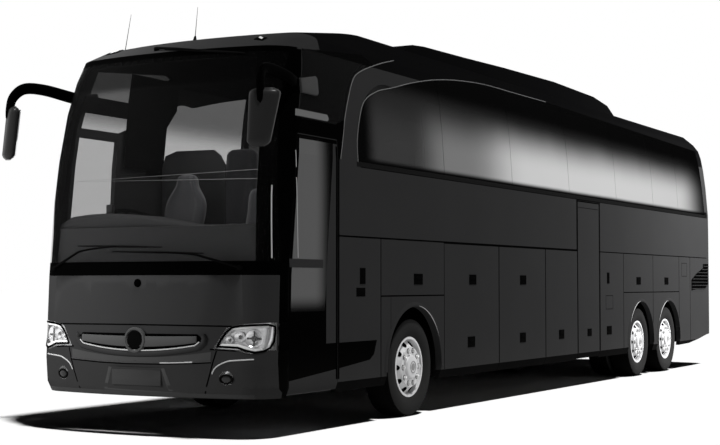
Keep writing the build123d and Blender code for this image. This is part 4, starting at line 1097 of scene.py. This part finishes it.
badge = bmesh.new()
badge_seat = on_skin("front", 0, 0.830)
add_turned(badge, [(-0.012, 0.0), (-0.012, 0.112), (0.020, 0.112), (0.028, 0.106), (0.028, 0.092),
                   (0.020, 0.086),
                   (0.008, 0.082), (0.008, 0.0)], badge_seat, (1, 0, 0), 64)
close_shape("bare_round_ring", badge, "coach", bar_grey, "grille")
badge = bmesh.new()
add_turned(badge, [(0.006, 0.0), (0.006, 0.082), (0.023, 0.080), (0.026, 0.045), (0.027, 0.0)], badge_seat,
           (1, 0, 0), 64)
close_shape("bare_round_disc", badge, "coach", black_plastic, "grille")
cap = bmesh.new()
add_turned(cap, [(-0.004, 0.0), (-0.004, 0.038), (0.006, 0.036), (0.007, 0.030), (0.004, 0.028),
                 (0.012, 0.022),
                 (0.014, 0.0)], on_skin("front", 0, 1.323), (1, 0, 0), 32)
close_shape("towing_cap", cap, "coach", gloss_black, "dark_trim")


def strip(points, width):
    """The outline of a narrow strip along straight runs in (across, height)."""
    one, two = [], []
    for k, point in enumerate(points):
        before, after = Vector(points[max(k - 1, 0)]), Vector(points[min(k + 1, len(points) - 1)])
        run = (after - before).normalized()
        side = Vector((-run.y, run.x)) * width / 2
        one.append(tuple(Vector(point) + side))
        two.append(tuple(Vector(point) - side))
    return one + two[::-1]


joint_width = 0.012
crease_points = [(-0.754, 0.656), (-0.401, 0.640), (-0.092, 0.635), (0.257, 0.639), (0.609, 0.653),
                 (0.748, 0.661)]
for number, points in enumerate([
        [(-0.925, 0.958), (-0.4, 0.962), (0, 0.964), (0.4, 0.962), (0.925, 0.958)],
        [(0.795, 0.750), (0.735, 0.560), (0.664, 0.352)], [(-0.795, 0.750), (-0.735, 0.560), (-0.664, 0.352)],
        [(0.735, 0.762), (0.86, 0.758), (0.97, 0.752)], [(-0.735, 0.762), (-0.86, 0.758), (-0.97, 0.752)],
        [(y, z - 0.010) for y, z in crease_points]]):
    drape(f"front_joint_{number + 1}", "front", strip(points, joint_width), "coach", joint_and_shade_black, "dark_trim",
          proud=0.0008, depth=0.002, step=0.05)
# painted highlights: a dim line along the bumper's crease and a brighter glint on part of it
bead("bumper_crease", "front", crease_points, 0.006, "coach", shelf_highlight_grey, "body_paint", proud=-0.001)
bead("bumper_glint", "front", [p for p in curved([(*p, 0) for p in crease_points]) if 0.22 < p[0] < 0.60],
     0.006,
     "coach", highlight_paint, "body_paint", proud=0.0)
# painted highlight: a lighter band on the shelf under the grille
drape("bumper_shelf", "front", [(-0.748, 0.662), (-0.754, 0.740)] + arc_points(0.700, 0.735, 0.684)
      + [(0.748, 0.740), (0.742, 0.666)] + [(y * 0.98, z + 0.006) for y, z in crease_points[::-1]], "coach",
      shelf_highlight_grey, "body_paint", proud=0.001, depth=0.003)
# painted highlights on the edges and sill of the plate recess
for label, way in sides.items():
    drape(f"plate_bevel_{label}", "front", [(way * y, z) for y, z in [
        (0.265, 0.590), (0.330, 0.398), (0.372, 0.398), (0.300, 0.596)]], "coach", shelf_highlight_grey, "body_paint",
        proud=0.002, depth=0.003, bevel=0.001)
drape("plate_sill", "front", [(-0.36, 0.392), (0.66, 0.372), (0.66, 0.384), (-0.36, 0.406)], "coach",
      shelf_highlight_grey,
      "body_paint", proud=0.001, depth=0.002)
drape("bumper_foot", "front", [(-1.1, 0.350), (1.1, 0.350), (1.1, 0.386), (-1.1, 0.386)], "coach", plate_grey,
      "dark_trim", proud=0.002, depth=0.004, bevel=0.001)
plate_box = ((-0.262, 0.262), (0.440, 0.575))
(plate_left, plate_right), (plate_low, plate_high) = plate_box
blank_plate = bmesh.new()
plate_x = on_skin("front", 0, 0.52).x
add_box(blank_plate, (plate_x, plate_left, plate_low), (plate_x + 0.004, plate_right, plate_high), 0.0015)
close_shape("blank_plate_panel", blank_plate, "coach", plate_grey, "body_paint")

# ---------------------------------------------------------------- lamps
# across, height, radius of the bowls in a headlamp
lamp_bowls = [(1.105, 0.855, 0.074), (0.985, 0.866, 0.046), (0.895, 0.842, 0.034)]
fog_at, fog_height, fog_radius = 0.880, 0.512, 0.055


def skin_normal(facing, across, height, span=0.01):
    """The outward direction of the skin."""
    points = [on_skin(facing, across + a, height + b) for a,
              b in ((-span, 0), (span, 0), (0, -span), (0, span))]
    normal = (points[1] - points[0]).cross(points[3] - points[2]).normalized()
    return normal if normal.dot(faces_of_coach[facing][2]) < 0 else -normal


def lamp_bowl(shape, seat, aim, radius, depth):
    """A deep bowl with a rolled rim."""
    add_turned(shape, [(-depth - 0.004, radius * 0.5), (-0.006, radius * 1.06), (0.0, radius * 1.05),
                       (0.003, radius), (-0.002, radius * 0.92), (-depth * 0.55, radius * 0.70),
                       (-depth, radius * 0.30), (-depth, 0.0)], seat, aim, 40)


def lamp_ribs(shape, seat, aim, radius, depth, count=4):
    """Bars across a bowl, from the rim to its middle."""
    aim = Vector(aim).normalized()
    one = aim.orthogonal().normalized()
    for k in range(count):
        out = Matrix.Rotation(pi / 4 + 2 * pi * k / count, 3, aim) @ one
        side = aim.cross(out)
        add_loft(shape, [oval(seat - aim * depth * 0.30 + out * radius * share, side, aim, radius * 0.10,
                              depth * 0.18, 4, 8) for share in (0.22, 0.9)])


lamp_outline = [(0.800, 0.785), (0.900, 0.783), (0.985, 0.778), (1.060, 0.752), (1.120, 0.738),
                (1.180, 0.750),
                (1.215, 0.780), (1.232, 0.830), (1.236, 0.900), (1.236, 0.955), (1.200, 0.972),
                (1.100, 0.968),
                (1.000, 0.962), (0.930, 0.948), (0.880, 0.910), (0.835, 0.850)]
for way, label in ((1, "left"), (-1, "right")):
    bowls, lenses, dark = bmesh.new(), bmesh.new(), bmesh.new()
    for across, height, radius in lamp_bowls:
        aim = (skin_normal("front", way * across, height) + Vector((0.5, 0, 0))).normalized()
        seat = on_skin("front", way * across, height) - aim * (0.016 + radius * 0.30)
        lamp_bowl(bowls, seat, aim, radius, radius * 0.42)
        if radius > 0.06:
            lamp_ribs(dark, seat, aim, radius, radius * 0.5)
        add_turned(lenses, [(-radius * 0.38, 0.0), (-radius * 0.38, radius * 0.36), (-radius * 0.22, radius * 0.36),
                            (-radius * 0.10, radius * 0.22), (-radius * 0.06, 0.0)], seat, aim, 24)
    fog_aim = skin_normal("front", way * fog_at, fog_height)
    fog_seat = on_skin("front", way * fog_at, fog_height)
    add_turned(dark, [(-0.002, 0.0), (-0.002, fog_radius + 0.012), (0.006, fog_radius + 0.010),
                      (0.009, fog_radius + 0.002), (0.004, fog_radius - 0.006), (0.001, fog_radius - 0.010),
                      (0.001, 0.0)], fog_seat, fog_aim, 40)
    add_turned(lenses, [(0.0012, 0.0), (0.0012, fog_radius - 0.012), (0.006, fog_radius - 0.016),
                        (0.010, 0.024),
                        (0.011, 0.0)], fog_seat, fog_aim, 40)
    for shape in (dark, lenses):
        for vert in shape.verts:
            if vert.co.z < 0.62:
                vert.co.z = fog_height + 0.66 * (vert.co.z - fog_height)
    close_shape(f"lamp_bowls_{label}", bowls, "coach", lamp_silver, "lamp")
    close_shape(f"lamp_lenses_{label}", lenses, "coach", fog_glass, "lamp")
    close_shape(f"lamp_bezels_{label}", dark, "coach", black_plastic, "dark_trim")
    outline = [(way * y, z) for y, z in lamp_outline]
    bead(f"lamp_seal_{label}", "front", outline, 0.0095, "coach", gloss_black, "rubber", proud=-0.002,
         closed=True,
         step=0.02)
    drape(f"lamp_brow_{label}", "front", [(way * y, z) for y, z in [
        (0.905, 0.925), (1.02, 0.938), (1.12, 0.944), (1.205, 0.948), (1.205, 0.962), (1.09, 0.958),
                                                                    (1.0, 0.951),
        (0.940, 0.940)]], "coach", lens_grey, "lamp", proud=-0.004, depth=0.003, step=0.03)
    drape(f"lamp_foot_{label}", "front", [(way * y, z) for y, z in [
        (0.825, 0.795), (0.985, 0.790), (1.07, 0.762), (1.125, 0.750), (1.175, 0.762), (1.165, 0.776),
                                                                    (1.12, 0.772),
        (1.075, 0.784), (0.99, 0.808), (0.835, 0.812)]], "coach", lens_grey, "lamp", proud=-0.004,
          depth=0.003,
        step=0.03)
    drape(f"lamp_marker_{label}", "front", [(way * y, z) for y, z in [
        (1.212, 0.80), (1.223, 0.84), (1.227, 0.90), (1.227, 0.958), (1.219, 0.958), (1.217, 0.90),
                                                                      (1.212, 0.85),
        (1.204, 0.81)]], "coach", lamp_silver, "lamp", proud=-0.003, depth=0.003, step=0.03)
    # painted highlight along the brow over each fog lamp
    bead(f"fog_brow_{label}", "front", [(way * p.x, p.y) for p in curved(
        [(0.753, 0.555, 0), (0.772, 0.592, 0), (0.810, 0.626, 0), (0.891, 0.662, 0), (0.962, 0.672, 0),
         (1.115, 0.682, 0)], 6)],
        0.006, "coach", highlight_paint, "body_paint", proud=-0.001)

# ---------------------------------------------------------------- wipers
# pivot, elbow and the two ends of the blade, (across, height) on the windscreen
wiper_sets = {
    "right": [(-1.030, 1.455), (-0.700, 1.600), (-0.727, 1.655), (0.240, 1.632)],
    "left": [(0.985, 1.452), (0.594, 1.560), (0.650, 1.575), (-0.296, 1.600)],
    "upper": [(-0.180, 3.440), (0.100, 3.400), (-0.060, 3.425), (0.814, 3.330)],
}
for label, (pivot, elbow, heel, tip) in wiper_sets.items():
    arm_run = [on_skin("front", *p, 0.024) for p in (pivot, elbow)]
    arm_run.append(on_skin("front", (heel[0] + tip[0]) / 2, (heel[1] + tip[1]) / 2, 0.020))
    fine_run = [(*arm_run[0].lerp(arm_run[1], t),) for t in (0, 0.5)] + [(*p,) for p in curved(arm_run,
                                                                                               6)[6:]]
    arm_mesh = tube_mesh(f"wiper_arm_{label}", fine_run, 0.009,
                         radii=list(np.linspace(1.3, 0.6, len(fine_run))))
    add_piece(f"wiper_arm_{label}", arm_mesh, "coach", black_plastic, "dark_trim")
    blade_run = [on_skin("front", heel[0] + (tip[0] - heel[0]) * t, heel[1] + (tip[1] - heel[1]) * t, 0.010)
                 for t in np.linspace(0, 1, 14)]
    bow = [0.7 + 0.6 * sin(pi * t) for t in np.linspace(0, 1, 14)]
    blade_mesh = tube_mesh(f"wiper_blade_{label}", blade_run, 0.008, radii=bow)
    add_piece(f"wiper_blade_{label}", blade_mesh, "coach", seal_rubber, "rubber")
    boss = bmesh.new()
    add_turned(boss, [(-0.02, 0.0), (-0.02, 0.026), (0.022, 0.024), (0.032, 0.016), (0.034, 0.0)],
               on_skin("front", *pivot), skin_normal("front", *pivot), 24)
    close_shape(f"wiper_pivot_{label}", boss, "coach", black_plastic, "dark_trim")
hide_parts("wipers")

# ---------------------------------------------------------------- mirrors
mirror_across, mirror_middle, mirror_height = 1.360, 2.684, 0.490
mirror_turns = {"left": radians(28), "right": radians(42)}
mirror_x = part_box("mirrors")[1][0] - 0.100
arm_bends = [(0.860, 1.150, 3.040), (0.560, 1.235, 3.085), (0.250, 1.270, 3.115), (0.020, 1.300, 3.100),
             (-0.090, 1.335, 3.010), (-0.115, 1.350, 2.900), (-0.110, 1.355, 2.800)]
for label, way in sides.items():
    turn = way * mirror_turns[label]
    wide, deep = Vector((-sin(turn), cos(turn), 0)), Vector((cos(turn), sin(turn), 0))
    outer = wide * way
    head = bmesh.new()
    rings = []
    for share in (0, 0.012, 0.04, 0.09, 0.16, 0.28, 0.42, 0.58, 0.74, 0.86, 0.93, 0.97, 0.99, 1):
        edge = max(0.0, (abs(2 * share - 1) - 0.80) / 0.20)
        shrink = max(0.42, sqrt(max(0.0, 1 - edge ** 2)))
        half = (0.096 + 0.040 * share) * (0.25 + 0.75 * shrink)
        lean = Vector((0.070 * (0.5 - share), 0, 0)) - outer * 0.022 * (1 - share)
        middle = Vector((mirror_x, way * mirror_across,
                         mirror_middle)) + lean + up * mirror_height * (share - 0.5)
        rings.append(oval(middle, wide, deep, half, 0.056 * shrink, 2.7, 32))
    add_loft(head, rings)
    close_shape(f"mirror_head_{label}", head, "coach", mirror_shell, "gloss_trim", 50)
    pane = bmesh.new()
    rings = []
    for share in (0.07, 0.10, 0.5, 0.90, 0.93):
        half = (0.096 + 0.040 * share) * 0.86 - (0.012 if share in (0.07, 0.93) else 0)
        lean = Vector((0.070 * (0.5 - share), 0, 0)) - outer * 0.022 * (1 - share)
        middle = Vector((mirror_x, way * mirror_across,
                         mirror_middle)) + lean + up * mirror_height * (share - 0.5)
        rings.append(oval(middle - deep * 0.053, wide, deep, half, 0.006, 6, 20))
    add_loft(pane, rings)
    close_shape(f"mirror_glass_{label}", pane, "coach", chrome, "gloss_trim", 50)
    route = [Vector((at(s), way * y, z)) for s, y, z in arm_bends]
    route = curved(route, 6)
    across = Vector((0, 1, 0))
    arm = bmesh.new()
    rings = []
    for k, point in enumerate(route):
        run = (route[min(k + 1, len(route) - 1)] - route[max(k - 1, 0)]).normalized()
        tall = run.cross(across).normalized()
        share = k / (len(route) - 1)
        taper = 1 - 0.25 * share if share < 0.97 else 0.5
        rings.append(oval(point, tall, across, 0.058 * taper, 0.030 * taper, 2.6, 20))
    add_loft(arm, rings)
    close_shape(f"mirror_arm_{label}", arm, "coach", gloss_black, "dark_trim", 50)
    drape(f"mirror_foot_{label}", label, [(side_across(label, s), z) for s, z in [
        (0.700, 2.985), (0.960, 2.985), (0.985, 3.010), (0.985, 3.135), (0.960, 3.160), (0.700, 3.110)]],
        "coach", bar_grey, "dark_trim", proud=0.030, depth=0.034, step=0.06, bevel=0.010)
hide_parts("mirrors")

# ---------------------------------------------------------------- aerials
aerial_whips = [((5.715, -1.066, 3.555), (5.700, -0.998, 3.955)),
                ((5.700, -0.238, 3.630), (5.700, -0.205, 3.955))]
for number, (foot, tip) in enumerate(aerial_whips, 1):
    foot, tip = Vector(foot), Vector(tip)
    run = [foot.lerp(tip, t) for t in np.linspace(0, 1, 10)]
    whip = add_piece(f"aerial_whip_{number}", tube_mesh(f"aerial_whip_{number}", run, 0.0035,
                                                        radii=list(np.linspace(1.2, 0.5, 10))),
                     "coach", black_plastic, "dark_trim")
    if number == 1:
        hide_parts("aerials")
    boss = bmesh.new()
    add_turned(boss, [(-0.03, 0.0), (-0.03, 0.020), (0.012, 0.018), (0.050, 0.008), (0.055, 0.0)], foot,
               tip - foot, 20)
    close_shape(f"aerial_foot_{number}", boss, "coach", black_plastic, "dark_trim")

# ---------------------------------------------------------------- front roof marker lamps
for label, way in sides.items():
    for part, (y0, y1, rise), finish, out in (("frame", (0.760, 0.872, 0.026), black_plastic, 0.008),
                                              ("lens", (0.785, 0.845, 0.010), lens_grey, 0.012)):
        drape(f"roof_marker_{part}_{label}", "front", [(way * y, z + lift) for y, z, lift in [
            (y0, 3.514, -rise), (y1, 3.490, -rise), (y1, 3.490, rise * 0.4), (y0, 3.514, rise * 0.4)]],
              "coach",
            finish, "lamp", proud=out, depth=0.010, step=0.03, bevel=0.003)

# painted highlights beside the windscreen and along the front of the door
bead("pillar_edge_left", "front", [(1.186, 2.155), (1.196, 1.85), (1.208, 1.534)], 0.006, "coach",
     bright_lip_and_highlight,
     "gloss_trim", proud=-0.001)
bead("door_front_edge", "left", [(side_across("left", s), z) for s, z in [(0.570, 2.47), (0.589, 2.04), (0.607, 1.54)]],
     0.005, "front_door", highlight_paint, "gloss_trim", proud=-0.001)
drape("door_header", "left", [(side_across("left", s), z) for s, z in [
    (0.560, 2.625), (1.304, 2.625), (1.304, 2.762), (0.600, 2.762)]], "coach", gloss_black, "dark_trim",
    proud=0.002, depth=0.003, step=0.04)
drape("door_header_strip", "left", [(side_across("left", s), z) for s, z in [
    (0.600, 2.776), (1.150, 2.776), (1.175, 2.800), (1.150, 2.836), (0.610, 2.836)]], "coach", header_and_highlight_grey,
      "dark_trim",
    proud=0.002, depth=0.003, step=0.04)
drape("door_rail", "left", [(side_across("left", s), z) for s, z in [
    (0.470, 1.457), (1.04, 1.457), (1.04, 1.531), (0.465, 1.531)]], "front_door", body_paint, "dark_trim",
    proud=0.001, depth=0.002, step=0.04)
for name, body, (s0, s1) in (("door_rear_shade", "front_door", (1.268, 1.296)),
                             ("door_jamb_shade", "coach", (1.3065, 1.332))):
    drape(name, "left", [(side_across("left", s), z) for s, z in [(s0, 0.46), (s1, 0.46), (s1, 2.56), (s0, 2.56)]],
          body, joint_and_shade_black, "dark_trim", proud=0.0006, depth=0.002, step=0.05)

# ---------------------------------------------------------------- side fittings
flap_bays = [(3.538, 4.982), (4.982, 6.407), (6.407, 7.520)]
mid_door = (7.520, 8.364)


def side_body(label, station):
    """The body that carries the skin at a station of a side, below the waist."""
    for number, (start, end) in enumerate(flap_bays, 1):
        if start < station < end:
            return f"luggage_flap_{label}_{number}"
    if label == "left" and mid_door[0] < station < mid_door[1]:
        return "middle_door"
    return "coach"


def side_part(shape, way, stations, heights, out, bevel=0.003):
    """A rounded block on a flat side, from out[0] to out[1] proud of the skin."""
    x = sorted(at(s) for s in stations)
    y = sorted(way * (half_width + o) for o in out)
    add_box(shape, (x[0], y[0], min(heights)), (x[1], y[1], max(heights)), bevel)


def dish_handle(shape, way, stations, heights):
    """A square dish with a rim and a paddle to pull."""
    side_part(shape, way, stations, heights, (0.0005, 0.003), 0.001)
    inset = 0.012
    (s0, s1), (z0, z1) = stations, heights
    for part, level_pair in (((s0, s0 + inset), heights), ((s1 - inset, s1), heights),
                             ((s0, s1), (z0, z0 + inset)), ((s0, s1), (z1 - inset, z1))):
        side_part(shape, way, part, level_pair, (0.0005, 0.006), 0.002)
    side_part(shape, way, (s0 + 0.03, s1 - 0.03), (z0 + (z1 - z0) * 0.45, z1 - 0.02), (0.003, 0.007), 0.0018)


upper_handles = [(2.84, 3.03), (4.17, 4.35), (5.60, 5.78), (9.93, 10.12), (11.28, 11.47)]
lower_latches = [(4.13, 4.31), (5.59, 5.76), (6.85, 7.02), (8.64, 8.83)]
upper_height, lower_height = (1.310, 1.417), (0.637, 0.750)
for label, way in sides.items():
    fittings = {}
    for stations in upper_handles:
        shape = fittings.setdefault(side_body(label, sum(stations) / 2), bmesh.new())
        dish_handle(shape, way, stations, upper_height)
    for stations in lower_latches:
        shape = fittings.setdefault(side_body(label, sum(stations) / 2), bmesh.new())
        dish_handle(shape, way, stations, lower_height)
    shape = fittings["coach"]
    dish_handle(shape, way, (1.72, 1.82), (1.315, 1.464))
    dish_handle(shape, way, (8.66, 8.75), (1.324, 1.472))
    side_part(shape, way, (1.65, 1.82), (1.20, 1.28), (0.0005, 0.003), 0.001)
    if label == "left":
        dish_handle(fittings.setdefault("middle_door", bmesh.new()), way, (7.88, 8.03), (0.640, 0.735))
    for body, shape in fittings.items():
        close_shape(f"handles_{label}_{body}", shape, body, black_plastic, "dark_trim")

seam_width = 0.006


def frame_outline(shape, way, stations, heights, width=seam_width, out=(0.0003, 0.0012), foot=True):
    """A thin dark frame, as the gap round a small service flap, with or without its lower side."""
    (s0, s1), (z0, z1) = stations, heights
    for part, level_pair in (((s0, s0 + width), heights), ((s1 - width, s1), heights),
                             ((s0, s1), (z1 - width, z1)), ((s0, s1), (z0, z0 + width)))[:4 if foot else 3]:
        side_part(shape, way, part, level_pair, out, 0)


for label, way in sides.items():
    seams = bmesh.new()
    frame_outline(seams, way, (8.61, 8.90), (0.977, 1.163))
    frame_outline(seams, way, (12.19, 12.48), (1.437, 1.647))
    side_part(seams, way, (2.341, 2.345), (0.46, 1.19), (0.0003, 0.0012), 0)
    close_shape(f"service_flap_seams_{label}", seams, "coach", joint_and_shade_black, "dark_trim")

# dark joints between panels: (stations, heights) on the flat of the sides
joint_half, flat_low = 0.006, 0.435
for label, way in sides.items():
    seams = bmesh.new()
    waist_from = 1.306 if label == "left" else 0.55
    runs = [(s, s, flat_low, waist) for s in (2.136, 9.355, 10.711, 12.046, 12.656)]
    runs += [(2.136, 3.536, 1.200, 1.200), (9.355, 12.046, 1.200, 1.200)]
    for s0, s1, z0, z1 in runs:
        if s0 == s1:
            side_part(seams, way, (s0 - joint_half, s0 + joint_half), (z0, z1), (0.0003, 0.0012), 0)
        else:
            side_part(seams, way, (s0, s1), (z0 - joint_half, z0 + joint_half), (0.0003, 0.0012), 0)
    side_part(seams, way, (waist_from, 7.518), (waist + 0.002, waist + 0.013), (0.0003, 0.0012), 0)
    side_part(seams, way, (8.366, 13.60), (waist - 0.006, waist + 0.006), (0.0003, 0.0012), 0)
    if label == "left":
        side_part(seams, way, (7.494, 7.516), (waist + 0.012, 2.400), (0.0003, 0.0012), 0)
        side_part(seams, way, (8.368, 8.390), (flat_low, 2.400), (0.0003, 0.0012), 0)
        side_part(seams, way, (1.307, 1.322), (0.80, 2.44), (0.0003, 0.0012), 0)
    else:
        side_part(seams, way, (7.510, 8.374), (waist - 0.006, waist + 0.006), (0.0003, 0.0012), 0)
        side_part(seams, way, (8.358, 8.370), (flat_low, waist), (0.0003, 0.0012), 0)
    close_shape(f"panel_joints_{label}", seams, "coach", joint_and_shade_black, "dark_trim")
    for number, bay in enumerate(flap_bays, 1):
        edge = bmesh.new()
        frame_outline(edge, way, (bay[0] + 0.004, bay[1] - 0.004), (flat_low, waist - 0.004), 0.006,
                      foot=False)
        close_shape(f"flap_edge_{label}_{number}", edge, f"luggage_flap_{label}_{number}", joint_and_shade_black,
                    "dark_trim")
door_edge = bmesh.new()
frame_outline(door_edge, 1, (7.525, 8.359), (flat_low, 2.392), 0.016, foot=False)
side_part(door_edge, 1, (7.56, 8.32), (2.300, 2.306), (0.0003, 0.0012), 0)
close_shape("middle_door_edge", door_edge, "middle_door", joint_and_shade_black, "dark_trim")

arch_radii = {"front": 0.600, "drive": 0.575, "tag": 0.575}
for axle, station in axle_stations.items():
    for label, way in sides.items():
        lip = bmesh.new()
        rings = []
        for turn in np.linspace(radians(-2), radians(182), 64):
            outward = Vector((cos(turn), 0, sin(turn)))
            centre = Vector((at(station), 0, wheel_radius))
            rings.append([centre + outward * (arch_radii[axle] + rise) + Vector((0, way * (half_width + out),
                                                                                 0))
                          for rise, out in ((-0.001, -0.012), (-0.001, 0.009), (0.006, 0.013), (0.020, 0.011),
                                            (0.046, 0.0008), (0.046, -0.006))])
        add_loft(lip, rings)
        close_shape(f"arch_lip_{axle}_{label}", lip, "coach", body_paint, "body_paint", 50)
        # painted highlight along part of each arch lip
        edge = [Vector((at(station) + cos(turn) * (arch_radii[axle] + 0.010), way * (half_width + 0.0105),
                        wheel_radius + sin(turn) * (arch_radii[axle] + 0.010)))
                for turn in np.linspace(*(radians(v) for v in ((88, 160) if axle == "front" else (20, 92))),
                                        48)]
        fade = [max(0.15, sin(pi * k / 47)) for k in range(48)]
        add_piece(f"arch_edge_{axle}_{label}", tube_mesh(f"arch_edge_{axle}_{label}", edge, 0.0055, radii=fade),
                  "coach", highlight_paint, "body_paint")

louvre_outline = [(12.730, 1.215), (12.736, 1.383), (13.000, 1.480), (13.417, 1.581), (13.419, 1.646),
                  (13.724, 1.650), (13.711, 1.319), (13.525, 1.237), (13.049, 1.238)]
louvre_count, louvre_pitch = 8, 0.052


def crossing_span(outline, height):
    """The first and last across value where a level line meets an outline."""
    found = []
    for (x0, z0), (x1, z1) in zip(outline, outline[1:] + outline[:1]):
        if min(z0, z1) <= height < max(z0, z1):
            found.append(x0 + (x1 - x0) * (height - z0) / (z1 - z0))
    return min(found), max(found)


for label, way in sides.items():
    # painted shade: a black sheet behind the louvre blades
    drape(f"louvre_back_{label}", label, along_side(label, louvre_outline), "coach", joint_and_shade_black,
          "dark_trim", proud=0.0008, depth=0.002, step=0.3)
    blades = bmesh.new()
    for number in range(louvre_count):
        height = 1.240 + number * louvre_pitch
        start, end = crossing_span(louvre_outline, height)
        tilt = Matrix.Rotation(way * radians(28), 4, "X")
        middle_x = at((start + end) / 2)
        half = (end - start) / 2 - 0.004
        add_box(blades, (middle_x - half, way * (half_width + 0.005) - 0.013, height - 0.004),
                (middle_x + half, way * (half_width + 0.005) + 0.013, height + 0.004), 0.0015, 1, tilt)
    close_shape(f"louvre_blades_{label}", blades, "coach", body_paint, "body_paint")

# black lower panel behind the front door
spear = [(1.306, 0.553), (1.342, 0.556), (1.914, 0.607), (1.994, 0.655), (2.054, 0.785), (1.306, 0.785)]
drape("black_spear", "left", along_side("left", spear), "coach", gloss_black, "dark_trim",
      proud=0.0008, depth=0.002, step=0.4)

# rubber under the side glass, painted highlights along the arch of the glass and along the crest, and a black surround
# by the door
arch_points = [(1.680, 2.450), (1.700, 2.700), (1.850, 3.010), (2.140, 3.160), (2.510, 3.245), (3.060, 3.370),
               (3.650, 3.470), (4.300, 3.540), (5.000, 3.585), (5.900, 3.592), (6.900, 3.600)]
crest_points = [(1.352, 2.450), (1.430, 2.680), (1.480, 2.850), (1.566, 3.019), (1.700, 3.222),
                (1.895, 3.332),
                (2.322, 3.461), (2.685, 3.545)]
for label, way in sides.items():
    drape(f"sill_rubber_{label}", label, [(side_across(label, s), z) for s, z in
                                          [(1.66, 2.408), (13.60, 2.408), (13.60, 2.452), (1.66, 2.452)]],
          "coach", seal_rubber, "rubber", proud=0.002, depth=0.004, step=0.5)
    line = [(side_across(label, p.x), p.y) for p in curved([(*p, 0) for p in arch_points], 6)]
    bead(f"glass_edge_{label}", label, line, 0.005, "coach", header_and_highlight_grey, "body_paint", proud=0.0)
    line = [(side_across(label, p.x), p.y) for p in curved([(*p, 0) for p in crest_points], 6)]
    bead(f"crest_edge_{label}", label, line, 0.005, "coach", header_and_highlight_grey, "body_paint", proud=0.0)
    drape(f"crown_surround_{label}", label,
          [(side_across(label, s), z) for s, z in [(1.306, 2.450), (1.350, 2.450), (1.428, 2.680), (1.476, 2.840),
                                                   (1.440, 2.815), (1.306, 2.764)]],
          "coach", gloss_black, "dark_trim", proud=0.0008, depth=0.002, step=0.4)

# ---------------------------------------------------------------- wheels
nut_circle, nut_count = 0.1675, 10
for axle, station in axle_stations.items():
    for label, way in sides.items():
        hub = Vector((at(station), way * (tyre_face - 0.008), wheel_radius))
        outward = Vector((0, way, 0))
        seat = Vector((nut_circle, 0, 0))
        # painted shade: a black ring round each nut
        well = bmesh.new()
        add_turned(well, [(-0.001, 0.0), (-0.001, 0.027), (0.0015, 0.027), (0.0015, 0.0)], seat, outward, 20)
        mesh = repeated(f"nut_wells_{axle}_{label}", ring_tree, well, black_plastic,
                        [(nut_count, tuple(hub), (0, 0, 0))])
        add_piece(mesh.name, mesh, f"{axle}_wheel_{label}", black_plastic, "dark_trim")
        nut = bmesh.new()
        add_turned(nut, [(0.0015, 0.0), (0.0015, 0.022), (0.005, 0.022), (0.005, 0.0185), (0.020, 0.0185),
                         (0.023, 0.015), (0.023, 0.010), (0.027, 0.008), (0.027, 0.0)], seat, outward, 6)
        mesh = repeated(f"wheel_nuts_{axle}_{label}", ring_tree, nut, steel,
                        [(nut_count, tuple(hub), (0, 0, 0))])
        add_piece(mesh.name, mesh, f"{axle}_wheel_{label}", steel, "wheel_silver")
        cover = bmesh.new()
        face = hub + outward * 0.030
        add_turned(cover, [(-0.010, 0.0), (-0.010, 0.060), (0.003, 0.060), (0.004, 0.054), (-0.001, 0.052),
                           (-0.001, 0.036), (0.003, 0.034), (0.004, 0.0)], face, outward, 40)
        add_turned(cover, [(-0.030, 0.108), (-0.018, 0.104), (-0.018, 0.098), (-0.030, 0.094),
                           (-0.030, 0.108)],
                   face, outward, 48)
        close_shape(f"hub_cap_{axle}_{label}", cover, f"{axle}_wheel_{label}", cap_grey, "wheel_silver")
        # painted shade: black ovals over the hand holes, larger than the holes
        shade = bmesh.new()
        slope_out = Vector((1, 0, way)).normalized()
        slope_out = Vector((slope_out.x, slope_out.z, 0))
        hole = Vector((0.2375, way * 0.1030, 0))
        add_loft(shade, [oval(hole - slope_out * back, Vector((0, 0, 1)), Vector((slope_out.y * way, -slope_out.x * way, 0)),
                              0.0262, 0.036, 2.0, 20) for back in (0.009, 0.0)])
        mesh = repeated(f"hand_hole_shades_{axle}_{label}", ring_tree, shade, joint_and_shade_black,
                        [(10, (at(station), way * (tyre_face - 0.1475), wheel_radius), (0, 0, 0))])
        add_piece(mesh.name, mesh, f"{axle}_wheel_{label}", joint_and_shade_black, "dark_trim")
        # painted shade: a black drum behind the hand holes
        drum = bmesh.new()
        middle = Vector((at(station), way * (tyre_face - 0.1475), wheel_radius))
        add_turned(drum, [(0.099, 0.190), (0.047, 0.243), (0.042, 0.243), (0.094, 0.190), (0.099, 0.190)],
                   middle,
                   outward, 48)
        close_shape(f"wheel_backing_{axle}_{label}", drum, f"{axle}_wheel_{label}", joint_and_shade_black, "dark_trim")
        lug = bmesh.new()
        for _way, middle_y in ((1, tyre_face - 0.1475 + 0.098), (-1, tyre_face - 0.1475 - 0.098)):
            add_box(lug, (-0.011, middle_y * way - 0.018, 0.470), (0.011, middle_y * way + 0.018, 0.4840),
                    0.003, 1)
        mesh = repeated(f"tread_lugs_{axle}_{label}", ring_tree, lug, tread_shade_rubber,
                        [(56, (at(station), 0, wheel_radius), (0, 0, 0))])
        add_piece(mesh.name, mesh, f"{axle}_wheel_{label}", tread_shade_rubber, "tyre")
